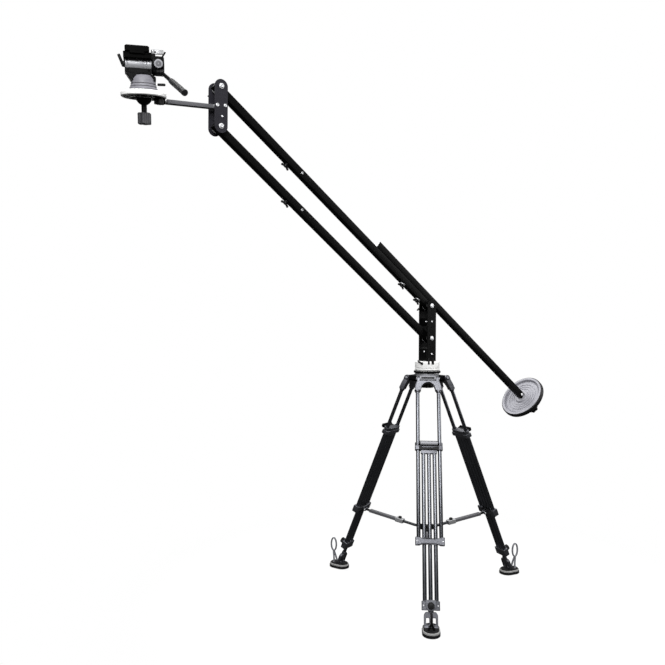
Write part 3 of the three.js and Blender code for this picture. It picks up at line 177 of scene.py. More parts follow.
@dataclass(frozen=True)
class Finish:
    """One finish of the crane: what it is, how it was made and how it takes the light."""

    name: str
    slot: str
    surface: Surface
    colour: str
    worn: str
    metallic: float
    roughness: float
    grain: float
    relief: float
    cloud: float = 70.0
    spread: float = 0.35
    specular: float = 0.5

    def build(self) -> bpy.types.Material:
        """Makes the Blender material.

        Returns:
            The material, with its pattern in real millimetres.
        """
        found = bpy.data.materials.get(self.name)
        if found:
            return found
        material = bpy.data.materials.new(self.name)
        material.use_nodes = True
        tree = material.node_tree
        tree.nodes.clear()
        place = add_node(tree, "ShaderNodeTexCoord").outputs["Object"]
        cloud = add_node(tree, "ShaderNodeTexNoise", {}, {
            "Vector": place, "Scale": 1000 / self.cloud, "Detail": 4.0,
            "Roughness": 0.6}).outputs["Fac"]
        edge = add_node(tree, "ShaderNodeNewGeometry").outputs["Pointiness"]
        wear = map_range(tree, edge, EDGE_POINTINESS, (0.0, EDGE_WEAR))
        spotted = map_range(tree, cloud, SPOT_RANGE, (0.0, self.spread))
        amount = add_node(tree, "ShaderNodeMath", {"operation": "MAXIMUM"}, {0: wear, 1: spotted})
        base = add_node(tree, "ShaderNodeMix", {"data_type": "RGBA"}, {
            "Factor": amount.outputs[0], 6: srgb(self.colour), 7: srgb(self.worn)})
        rough = map_range(tree, cloud, ROUGH_RANGE, (self.roughness - 0.06, self.roughness + 0.07))
        bump = add_node(tree, "ShaderNodeBump", {}, {
            "Height": self.pattern(tree, place), "Strength": self.relief,
            "Distance": self.grain * MM * 0.5})
        shader = add_node(tree, "ShaderNodeBsdfPrincipled", {}, {
            "Base Color": base.outputs[2], "Roughness": rough, "Metallic": self.metallic,
            "Specular IOR Level": self.specular, "Normal": bump.outputs["Normal"]})
        add_node(tree, "ShaderNodeOutputMaterial", {}, {"Surface": shader.outputs["BSDF"]})
        return material

    def pattern(self, tree: bpy.types.NodeTree,
                place: bpy.types.NodeSocket) -> bpy.types.NodeSocket:
        """Adds the fine pattern of the surface.

        Args:
            tree: the material's node tree.
            place: the coordinates to read.

        Returns:
            The pattern's height.
        """
        scale = 1000 / self.grain
        if self.surface is Surface.MOULDED:
            cells = add_node(tree, "ShaderNodeTexVoronoi", {}, {"Vector": place, "Scale": scale})
            return cells.outputs["Distance"]
        if self.surface is Surface.TURNED:
            rings = add_node(tree, "ShaderNodeTexWave", {"wave_type": "RINGS"}, {
                "Vector": place, "Scale": scale / 6, "Distortion": 2.0, "Detail": 3.0})
            return rings.outputs["Fac"]
        detail = 8.0 if self.surface is Surface.CAST else 2.0
        noise = add_node(tree, "ShaderNodeTexNoise", {}, {
            "Vector": place, "Scale": scale, "Detail": detail, "Roughness": 0.65})
        return noise.outputs["Fac"]


# Powder-coated aluminium: a fine orange-peel that breaks the highlight along the tubes.
BLACK_COAT = Finish("black_powder_coat", "black_aluminium", Surface.PAINTED,
                    "050505", "0A0A0B", 0.0, 0.45, 1.6, 0.25, specular=0.07)
# Anodised drawn aluminium tube: a satin metal that shows what stands round it.
GREY_ANODISED = Finish("grey_anodised_aluminium", "grey_aluminium", Surface.ANODISED,
                       "66686D", "707277", 1.0, 0.28, 1.2, 0.015, cloud=240, spread=0.15)
# Tumbled grey casting: the same metal as the tubes with a coarser skin.
GREY_CASTING = Finish("grey_cast_aluminium", "grey_aluminium", Surface.CAST,
                      "5C5D62", "6E6F74", 0.9, 0.4, 2.2, 0.3, cloud=140)
# Pale grey paint: the crown's body and front lug, lever faces, hinge bolts and drag dial.
GREY_SKIN = Finish("pale_grey_paint", "dark_casting", Surface.CAST,
                   "98999E", "ACADB1", 0.1, 0.45, 2.2, 0.3)
# Dark painted die casting: coarser skin than the tubes; also painted shade on the crown's side lugs
# and on the platform's underside.
DARK_CASTING_AND_SHADE = Finish("dark_casting_and_painted_shade", "dark_casting", Surface.CAST,
                      "070708", "0E0E0F", 0.0, 0.46, 2.2, 0.4, specular=0.1)
# Matt black paint of the camera plate and the deck under it.
DEEP_BLACK = Finish("matt_black_paint", "black_aluminium", Surface.PAINTED,
                    "020202", "060606", 0.0, 0.6, 1.6, 0.2, specular=0.04)
# Powder coat of the head plates, worn greyer than the booms.
GREY_COAT = Finish("grey_black_powder_coat", "black_aluminium", Surface.PAINTED,
                   "222127", "2C2B32", 0.0, 0.5, 1.6, 0.25, specular=0.2)
# Sanded bar, dull mid grey with paler edges: platform arm, spreader sleeves, dial centre.
DULL_GREY = Finish("sanded_grey_bar", "grey_aluminium", Surface.ANODISED,
                   "545458", "7C7C80", 0.2, 0.5, 1.2, 0.15)
# Matt grey paint on the head's cone.
GREY_PAINT = Finish("matt_grey_paint", "grey_aluminium", Surface.PAINTED,
                    "7C7B82", "8E8D94", 0.0, 0.5, 1.6, 0.2)
# White enamel on turned aluminium: smooth, slightly glossy.
WHITE_ENAMEL = Finish("white_enamel", "white_aluminium", Surface.PAINTED,
                      "FBFBFA", "F1F1EF", 0.0, 0.34, 1.8, 0.12)
# Clear anodised aluminium: pale silver-grey metal.
PALE_ANODISED = Finish("clear_anodised_aluminium", "pale_aluminium", Surface.ANODISED,
                       "B5B6B8", "C9CACC", 0.6, 0.36, 1.2, 0.12)
# Moulded nylon: dull black with a fine spark-eroded texture; also the thin black sheet of painted
# shade in each leg collar's recess.
BLACK_NYLON_AND_SHADE = Finish("black_nylon_and_painted_shade", "black_plastic", Surface.MOULDED,
                     "070708", "111113", 0.0, 0.5, 1.4, 0.35, specular=0.25)
# Scuffed nylon of the ball clamp's knob, greyer than the rest.
WORN_NYLON = Finish("scuffed_nylon", "black_plastic", Surface.MOULDED,
                    "2E2E31", "5A5A5E", 0.0, 0.45, 1.4, 0.35, cloud=18)
# Polished rubber of the handle's grip.
GRIP_RUBBER = Finish("polished_rubber_grip", "black_plastic", Surface.MOULDED,
                     "161617", "2A2A2B", 0.0, 0.3, 1.8, 0.3)
# Moulded rubber: matt, greyer where it is handled.
BLACK_RUBBER = Finish("black_moulded_rubber", "black_rubber", Surface.MOULDED,
                      "0B0B0C", "171718", 0.0, 0.78, 1.8, 0.4, specular=0.25)
# Grey colour on the side feet's straps: painted light where they catch the lamps; the front foot's
# strap stays black rubber.
LIT_STRAP_RUBBER = Finish("strap_rubber_painted_light", "black_rubber", Surface.MOULDED,
                     "77787D", "8E8F94", 0.0, 0.6, 1.8, 0.3)
# Pale band moulded round the foot's rim.
PALE_BAND = Finish("pale_moulded_band", "black_rubber", Surface.MOULDED,
                   "A3A3A2", "8C8C8B", 0.0, 0.6, 1.8, 0.3)
# Pale grey hammer paint over cast iron: lumpy skin seen close up.
GREY_IRON = Finish("grey_painted_cast_iron", "weight_iron", Surface.CAST,
                   "ABABB2", "8E8E96", 0.1, 0.5, 3.0, 0.3, cloud=26, spread=0.45)
# Near-black colour on the weight's edge and outer face: painted shade where the edge turns away
# from the light.
SHADED_EDGE_IRON = Finish("weight_edge_painted_shade", "weight_iron", Surface.CAST,
                    "0F0F10", "1C1C1E", 0.0, 0.5, 3.0, 0.5, specular=0.3)
# Bright turned steel: bolt heads and pins.
BRIGHT_STEEL = Finish("bright_turned_steel", "bright_steel", Surface.TURNED,
                      "EDEEF0", "F6F7F8", 0.45, 0.34, 1.0, 0.1)
# Silver satin drum of the fluid head.
SILVER_SATIN = Finish("silver_satin_aluminium", "dark_casting", Surface.TURNED,
                      "A9AAAE", "C2C3C6", 0.4, 0.36, 1.2, 0.12)


def soften(points: Outline, radius: float, closed: bool = True, steps: int = 3) -> list[tuple]:
    """Rounds the corners of an outline or profile.

    Args:
        points: the corners.
        radius: how far each corner is cut back.
        closed: whether the last point joins the first.
        steps: pieces in each round.

    Returns:
        The rounded points.
    """
    made: list[tuple] = []
    count = len(points)
    for i, corner in enumerate(points):
        here = Vector(corner)
        before = Vector(points[i - 1]) - here
        after = Vector(points[(i + 1) % count]) - here
        ends = not closed and i in (0, count - 1)
        flat = before.length == 0 or after.length == 0 or before.angle(after) > STRAIGHT
        if ends or flat or radius <= 0:
            made.append(tuple(here))
            continue
        back = min(radius, ROUND_SHARE * before.length, ROUND_SHARE * after.length)
        first = here + before.normalized() * back
        last = here + after.normalized() * back
        for t in (k / steps for k in range(steps + 1)):
            made.append(tuple((1 - t) ** 2 * first + 2 * t * (1 - t) * here + t ** 2 * last))
    return made


def ring(radius: float, count: int = 40, start: float = 0.0, sweep: float = 360.0,
         centre: tuple[float, float] = (0, 0)) -> list[tuple]:
    """Points on a circle or an arc, in degrees."""
    whole = abs(sweep) >= 360
    steps = count if whole else count - 1
    turns = [math.radians(start + sweep * i / steps) for i in range(count)]
    x, y = centre
    return [(x + radius * math.cos(a), y + radius * math.sin(a)) for a in turns]


def lobed(radius: float, depth: float, lobes: int, steps: int = 10) -> list[tuple]:
    """The outline of a knob with round lobes.

    Args:
        radius: the radius over the lobes.
        depth: how deep the scallops are.
        lobes: how many lobes.
        steps: points for each lobe.

    Returns:
        The outline's points.
    """
    made = []
    for i in range(lobes * steps):
        a = 2 * math.pi * i / (lobes * steps)
        r = radius - depth * (0.5 - 0.5 * math.cos(lobes * a)) ** 1.6
        made.append((r * math.cos(a), r * math.sin(a)))
    return made


def rectangle(x0: float, y0: float, x1: float, y1: float, corner: float = 0.0) -> list[tuple]:
    """A rectangle's outline with round corners."""
    return soften([(x0, y0), (x1, y0), (x1, y1), (x0, y1)], corner)


def square(half: float, corner: float, middle: float = 0.0) -> list[tuple]:
    """A square's outline with round corners, with its middle at a height."""
    return rectangle(-half, middle - half, half, middle + half, corner)


def mirrored(half: Outline) -> list[tuple]:
    """A whole outline from its right half, given from one end to the other."""
    return [*half, *((-x, y) for x, y in reversed(half))]


def ball_profile(radius: float, low: float, height: float, steps: int) -> list[tuple]:
    """The levelling ball's radius at even heights.

    Args:
        radius: the ball's radius.
        low: the lowest height.
        height: how far up from there.
        steps: how many steps it takes.

    Returns:
        Points of radius and height, from the lowest up.
    """
    heights = [low + height * k / steps for k in range(steps + 1)]
    return [(math.sqrt(radius ** 2 - (BALL_RISE - z) ** 2), z) for z in heights]


def turned(angle: float, axis: str) -> Matrix:
    """A turn about an axis, in degrees."""
    return Matrix.Rotation(math.radians(angle), 4, axis)


def inset(loop: Outline, distance: float) -> list[tuple]:
    """Moves an outline inwards, or outwards for a hole that runs the same way round.

    Args:
        loop: the outline.
        distance: how far, in the outline's units.

    Returns:
        The moved outline.
    """
    area = sum(a[0] * b[1] - b[0] * a[1] for a, b in zip(loop, [*loop[1:], loop[0]]))
    side = 1 if area > 0 else -1
    made = []
    for i, p in enumerate(loop):
        a, b = loop[i - 1], loop[(i + 1) % len(loop)]
        d1 = Vector((p[0] - a[0], p[1] - a[1])).normalized()
        d2 = Vector((b[0] - p[0], b[1] - p[1])).normalized()
        n = Vector((-(d1.y + d2.y), d1.x + d2.x))
        n = n.normalized() if n.length > 1e-9 else Vector((-d1.y, d1.x))
        miter = max(0.5, n.dot(Vector((-d1.y, d1.x))))
        made.append((p[0] + side * n.x * distance / miter, p[1] + side * n.y * distance / miter))
    return made


class Piece:
    """One visible piece, made of closed shells that each have a finish."""

    def __init__(self, name: str, place: Matrix, finish: Finish) -> None:
        """Starts an empty piece.

        Args:
            name: the CAD node that it stands for.
            place: the sub-assembly's frame, in millimetres.
            finish: the main finish.
        """
        self.name = name
        self.place = place
        self.finishes = [finish]
        self.vertices: list[Vector] = []
        self.faces: list[tuple[int, ...]] = []
        self.face_finish: list[int] = []

    def shell(self, points: Iterable[Sequence[float]], faces: Iterable[Sequence[int]],
              matrix: Matrix, finish: Finish | None) -> None:
        """Adds one closed shell, given in a matrix's own frame."""
        chosen = finish or self.finishes[0]
        if chosen not in self.finishes:
            self.finishes.append(chosen)
        start = len(self.vertices)
        whole = self.place @ matrix
        self.vertices.extend(whole @ Vector(p) for p in points)
        for face in faces:
            self.faces.append(tuple(start + i for i in face))
            self.face_finish.append(self.finishes.index(chosen))

    def lathe(self, profile: Outline, axis: Axis = Axis.Z, at: Point = (0, 0, 0), edge: float = 0.8,
              finish: Finish | None = None, sides: int = 56) -> None:
        """Turns a profile of radius and height about an axis.

        Args:
            profile: points from one end of the axis to the other, or a closed loop.
            axis: the axis of turning.
            at: the point that heights are measured from.
            edge: the round on the corners.
            finish: the shell's finish.
            sides: how many sides the turned shape has.
        """
        closed = profile[0][0] > 0
        line = soften(profile, edge, closed=closed)
        points: list[Point] = []
        rows: list[list[int]] = []
        for r, h in line:
            if r < 1e-6:
                rows.append([len(points)] * sides)
                points.append((0, 0, h))
                continue
            rows.append(list(range(len(points), len(points) + sides)))
            points.extend((x, y, h) for x, y in ring(r, sides))
        pairs = list(zip(rows, rows[1:]))
        if closed:
            pairs.append((rows[-1], rows[0]))
        faces = []
        for low, high in pairs:
            for i in range(sides):
                face = tuple(dict.fromkeys([low[i - 1], low[i], high[i], high[i - 1]]))
                if len(face) > 2:
                    faces.append(face)
        self.shell(points, faces, axis.matrix(at), finish)

    def rod(self, radius: float, low: float, high: float, axis: Axis = Axis.Z,
            at: Point = (0, 0, 0), edge: float = 0.6, finish: Finish | None = None,
            sides: int = 40) -> None:
        """A round bar along an axis, from one height to another."""
        self.hoop(0, radius, low, high, axis, at, edge, finish, sides)

    def hoop(self, inner: float, outer: float, low: float, high: float, axis: Axis = Axis.Z,
             at: Point = (0, 0, 0), edge: float = 0.8, finish: Finish | None = None,
             sides: int = 56) -> None:
        """A ring of rectangular section about an axis, from one height to another."""
        self.lathe([(inner, low), (outer, low), (outer, high), (inner, high)], axis, at, edge,
                   finish, sides)

    def prism(self, outline: Outline, low: float, high: float, axis: Axis = Axis.Z,
              at: Point = (0, 0, 0), edge: float = 0.8, holes: Sequence[Outline] = (),
              finish: Finish | None = None) -> None:
        """Thickens an outline, with holes, along an axis.

        Args:
            outline: the outer edge.
            low: where it starts along the axis.
            high: where it ends.
            axis: the axis of thickening.
            at: the point that heights are measured from.
            edge: the chamfer round both faces.
            holes: outlines of openings right through.
            finish: the shell's finish.
        """
        levels = [(low, edge), (low + edge, 0.0), (high - edge, 0.0), (high, edge)]
        if edge <= 0:
            levels = [(low, 0.0), (high, 0.0)]
        points: list[Point] = []
        rows: list[list[list[int]]] = []
        for height, cut in levels:
            rows.append([])
            for index, loop in enumerate([outline, *holes]):
                moved = inset(loop, cut if index == 0 else -cut) if cut else loop
                rows[-1].append(list(range(len(points), len(points) + len(moved))))
                points.extend((x, y, height) for x, y in moved)
        faces: list[tuple[int, ...]] = []
        for lower, upper in zip(rows, rows[1:]):
            for a, b in zip(lower, upper):
                faces.extend((a[i - 1], a[i], b[i], b[i - 1]) for i in range(len(a)))
        for cap in (rows[0], rows[-1]):
            flat = [i for loop in cap for i in loop]
            loops = [[Vector(points[i]) for i in loop] for loop in cap]
            if holes:
                faces.extend(tuple(flat[i] for i in corners)
                             for corners in tessellate_polygon(loops))
            else:
                faces.append(tuple(flat))
        self.shell(points, faces, axis.matrix(at), finish)

    def block(self, low: Point, high: Point, edge: float = 1.0,
              finish: Finish | None = None) -> None:
        """A box with rounded edges, from its lowest to its highest corner."""
        outline = rectangle(low[0], low[1], high[0], high[1], edge)
        self.prism(outline, low[2], high[2], edge=edge * 0.6, finish=finish)

    def sweep(self, path: Sequence[Point], section: Outline, up: Point = (1, 0, 0),
              closed: bool = False, finish: Finish | None = None) -> None:
        """Carries a section along a path.

        Args:
            path: the points of the path.
            section: the section's outline.
            up: a direction that the section's first axis follows.
            closed: whether the path joins itself.
            finish: the shell's finish.
        """
        line = [Vector(p) for p in path]
        count, n = len(line), len(section)
        points: list[Vector] = []
        for i, here in enumerate(line):
            before = line[i - 1] if closed or i else here
            after = line[(i + 1) % count] if closed or i < count - 1 else here
            forward = (after - before).normalized()
            side = (Vector(up) - forward * forward.dot(Vector(up))).normalized()
            third = forward.cross(side)
            points.extend(here + side * x + third * y for x, y in section)
        faces: list[tuple[int, ...]] = []
        for i in range(count if closed else count - 1):
            a, b = i * n, ((i + 1) % count) * n
            faces.extend((a + k, a + (k + 1) % n, b + (k + 1) % n, b + k) for k in range(n))
        if not closed:
            faces += [tuple(range(n)), tuple(range((count - 1) * n, count * n))]
        self.shell(points, faces, Matrix.Identity(4), finish)

    def bolt(self, radius: float, axis: Axis, at: Point, way: int = 1, height: float = 4.0,
             finish: Finish | None = None) -> None:
        """A domed bolt head with a hexagon socket, standing on a face."""
        top = way * height
        self.lathe([(0, 0), (radius, 0), (radius, top * 0.45), (radius * 0.72, top),
                    (radius * 0.45, top), (radius * 0.4, top * 0.4), (0, top * 0.4)], axis, at, 0.4,
                   finish or BRIGHT_STEEL, 28)

    def done(self, body: str, slot: str | None = None) -> None:
        """Makes the object, lets it ride on its body and stand for its node.

        Args:
            body: the body's name.
            slot: not used; the record's material slot, if it isn't the main finish's.
        """
        mesh = bpy.data.meshes.new(f"{self.name}_body")
        mesh.from_pydata([v * MM for v in self.vertices], [], self.faces)
        for finish in self.finishes:
            mesh.materials.append(finish.build())
        mesh.polygons.foreach_set("material_index", self.face_finish)
        work = bmesh.new()
        work.from_mesh(mesh)
        bmesh.ops.remove_doubles(work, verts=work.verts, dist=MERGE_DISTANCE)
        bmesh.ops.recalc_face_normals(work, faces=work.faces)
        work.to_mesh(mesh)
        work.free()
        mesh.shade_smooth()
        mesh.set_sharp_from_angle(angle=SHARP_ANGLE)
        made = bpy.data.objects.new(f"{self.name}_body", mesh)
        bpy.context.scene.collection.objects.link(made)
        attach(made, body)
        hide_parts(self.name)
        LOG.info("%s rides on %s with %d faces", made.name, body, len(mesh.polygons))


class Places:
    """The frames of the sub-assemblies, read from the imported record's joints."""

    def __init__(self, joints: Sequence[dict]) -> None:
        """Keeps the joints by name."""
        self.joints = {j["name"]: j for j in joints}
        self.pan = self.spot("jib_pan")
        self.pan.z = 0

    def spot(self, joint: str) -> Vector:
        """A hinge's point in millimetres."""
        return Vector(self.joints[joint]["pos_m"]) / MM

    def axis(self, joint: str) -> Vector:
        """A joint's direction."""
        return Vector(self.joints[joint]["axis"]).normalized()

    @staticmethod
    def frame(origin: Vector, x: Vector, z: Vector) -> Matrix:
        """A right-handed frame from its origin, X and Z."""
        y = z.cross(x)
        made = Matrix((x, y, z)).transposed().to_4x4()
        made.translation = origin
        return made

    def base(self) -> Matrix:
        """The pan axis at the floor."""
        return Matrix.Translation(self.pan)

    def radial(self, leg: str) -> Matrix:
        """The pan axis at the floor, with Y towards a leg's foot."""
        return self.frame(self.pan, self.axis(f"leg_{leg}_fold"), Vector((0, 0, 1)))

    def leg(self, leg: str) -> Matrix:
        """A leg's hinge, with the leg along -Z and Y outwards."""
        return self.frame(self.spot(f"leg_{leg}_fold"), self.axis(f"leg_{leg}_fold"),
                          -self.axis(f"leg_{leg}_stage_slide"))

    def arm(self, leg: str, pivot_radius: float) -> tuple[Matrix, float]:
        """The spreader arm's hub pivot, with Y towards the yoke, and the arm's length."""
        yoke = self.spot(f"spreader_{leg}_swing")
        along = self.axis(f"spreader_{leg}_telescope")
        across = self.axis(f"leg_{leg}_fold")
        reach = yoke - self.pan
        reach.z = 0
        level = Vector((along.x, along.y, 0)).length
        length = (reach.length - pivot_radius) / level
        return self.frame(yoke + along * length, across, across.cross(-along)), length

    def boom(self, joint: str) -> Matrix:
        """A boom's pivot, with X towards the tail and Z square to the boom."""
        x = self.axis("counter_beam_slide")
        return self.frame(self.spot(joint), x, x.cross(Vector((0, 1, 0))))

    def upright(self, joint: str) -> Matrix:
        """A level frame at a hinge."""
        return Matrix.Translation(self.spot(joint))

    def bar(self) -> Matrix:
        """The platform arm, with X along it, under the head leveller's pivot."""
        x = self.axis("platform_roll")
        origin = self.spot("head_leveller") - Vector((0, 0, ARM_DROP))
        return self.frame(origin, x, x.cross(Vector((0, 1, 0))))

    def deck(self) -> Matrix:
        """The rolled platform, with its top at height zero and Z along the pan axis."""
        z = self.axis("head_pan")
        return self.frame(self.spot("head_level") - z * BALL_RISE, self.axis("head_level"), z)

    def tilt(self) -> Matrix:
        """The fluid head's tilt axis."""
        return self.frame(self.spot("head_tilt"), self.axis("head_tilt"), self.axis("head_pan"))

    def collar(self, leg: str, stage: float) -> float:
        """How far down its leg a collar is, from the knob at the foot of its stage."""
        down = self.axis(f"leg_{leg}_stage_slide")
        return (self.spot(f"leg_{leg}_knob_turn") - self.spot(f"leg_{leg}_fold")).dot(down) - stage


@dataclass
class Crown:
    """Tripod crown, its clamp and the turntable on it."""

    places: Places
    bore: float = 13
    rim_radius: float = 66
    rim_bottom: float = 1070
    top: float = 1080
    body_radius: float = 58
    lug_half: float = 38
    lug_radius: float = 11
    hinge_radius: float = 88
    hinge_height: float = 1046
    table_radius: float = 60
    split: float = 1093.2
    table_top: float = 1128

    def build(self) -> None:
        """Makes every piece of the crown and the turntable."""
        self.casting()
        self.clamp()
        self.turntable()
        self.pan_lock()

    def casting(self) -> None:
        """The bowl-shaped casting with its rim and hinge lugs."""
        piece = Piece("tripod_crown", self.places.base(), DARK_CASTING_AND_SHADE)
        body, bore, rim = self.body_radius, self.bore, self.rim_bottom
        piece.lathe([(bore, 1030), (36, 1030), (40, 1032), (52, 1042), (body - 1, 1058),
                     (body, 1062), (body, rim + 1), (bore, rim + 1)], edge=1.6, finish=GREY_SKIN,
                    sides=72)
        piece.hoop(bore, self.rim_radius, rim, self.top, edge=1.6, sides=72)
        piece.hoop(body - 2, body + 1.6, rim - 6, rim - 1, edge=0.5, finish=PALE_ANODISED, sides=72)
        for leg in LEGS:
            self.lug(piece, leg)
        piece.done("crown")

    def lug(self, piece: Piece, leg: str) -> None:
        """One hinge lug with its dark slot, two ribs and a bolt."""
        piece.place = self.places.radial(leg)
        reach, centre = self.hinge_radius, (self.hinge_radius, self.hinge_height)
        low, high = self.hinge_height - self.lug_radius, self.hinge_height + self.lug_radius
        side = [(22, low), (reach, low), *ring(self.lug_radius, 14, -90, 180, centre),
                (reach, high), (22, high)]
        # Only the front lug is pale; the side lugs keep the dark casting as painted shade, though
        # the crown wears one paint.
        piece.prism(side, -self.lug_half, self.lug_half, Axis.X, edge=1.2,
                    finish=GREY_SKIN if leg == "front" else None)
        slot = ring(self.lug_radius + 0.4, 8, 8, 44, centre)
        slot += reversed(ring(self.lug_radius - 1.2, 8, 8, 44, centre))
        piece.prism(slot, -32, 32, Axis.X, edge=0, finish=BLACK_NYLON_AND_SHADE)
        rib = soften([(50, low + 2), (reach - 6, low + 2), (reach - 16, low - 8),
                      (44, low - 10)], 2)
        for x in (-18, 18):
            piece.prism(rib, x - 3, x + 3, Axis.X)
        piece.bolt(4, Axis.Y, (0, self.body_radius - SUNK, 1053), 1, 3.5)

    def clamp(self) -> None:
        """The lobed bowl clamp under the crown."""
        piece = Piece("crown_clamp_knob", self.places.base(), BLACK_NYLON_AND_SHADE)
        piece.prism(lobed(31, 4.5, 8), 996, 1016, edge=2.4)
        piece.lathe([(12.5, 1012), (25, 1012), (29, 1018), (29, 1029.7), (12.5, 1029.7)], edge=1.4)
        piece.rod(12.4, 1012, 1013, edge=0.2, sides=56)
        piece.lathe([(0, 1000), (14, 1000), (16, 995.8), (0, 995.8)])
        piece.done("crown_clamp")

    def turntable(self) -> None:
        """The fixed base and the turning top, in white."""
        r, high = self.table_radius, self.table_top
        base = Piece("turntable_base", self.places.base(), WHITE_ENAMEL)
        base.lathe([(0, 1018), (12, 1018), (12, 1080.4), (r, 1080.4), (r, self.split - 0.5),
                    (r - 3, self.split), (0, self.split)], edge=1.2, sides=96)
        base.hoop(r - 4, r + 0.5, 1083, 1085.5, edge=0.3, finish=BLACK_NYLON_AND_SHADE, sides=96)
        base.done("crown")
        top = Piece("turntable_top", self.places.base(), WHITE_ENAMEL)
        top.lathe([(0, self.split + 0.6), (r - 3, self.split + 0.6), (r, self.split + 1.6),
                   (r, high - 4), (r - 4, high), (0, high)], edge=1.4, sides=96)
        for x, y in ((-27, -41), (-6, -49)):
            top.rod(5.2, high - 1, high + 5, at=(x, y, 0), finish=BLACK_NYLON_AND_SHADE)
            top.prism(ring(4.6, 6), high + 5, high + 17, at=(x, y, 0), finish=BLACK_NYLON_AND_SHADE)
        screw = math.radians(75)
        top.bolt(3.6, Axis.Z, (52 * math.cos(screw), 52 * math.sin(screw), high - 0.2), 1, 2.4,
                 DARK_CASTING_AND_SHADE)
        for turn, half in ((-124, 4.5), (-104, 6.5)):
            top.place = self.places.base() @ turned(turn, "Z")
            top.block((56, -half, high - 15), (61, half, high + 3), 1, BLACK_NYLON_AND_SHADE)
        top.done("post")

    def pan_lock(self) -> None:
        """The small black lever that locks the turntable."""
        up = Vector((0, 0, 1))
        out = self.places.axis("pan_lock_turn")
        place = Places.frame(self.places.spot("pan_lock_turn"), out.cross(up), up)
        piece = Piece("pan_lock_lever", place, BLACK_NYLON_AND_SHADE)
        piece.lathe([(0, -14), (2.8, -14), (2.8, 0.4), (6.2, 0.4), (6.2, 4), (4.6, 7.5), (0, 7.5)],
                    Axis.Y)
        piece.sweep([(0, 3.6, 0), (8, 3.6, 4.4), (15, 3.6, 8.2), (22, 3.6, 12)],
                    rectangle(-2.6, -3.2, 2.6, 3.2, 1.4), up=(0, 1, 0))
        piece.done("pan_lock")


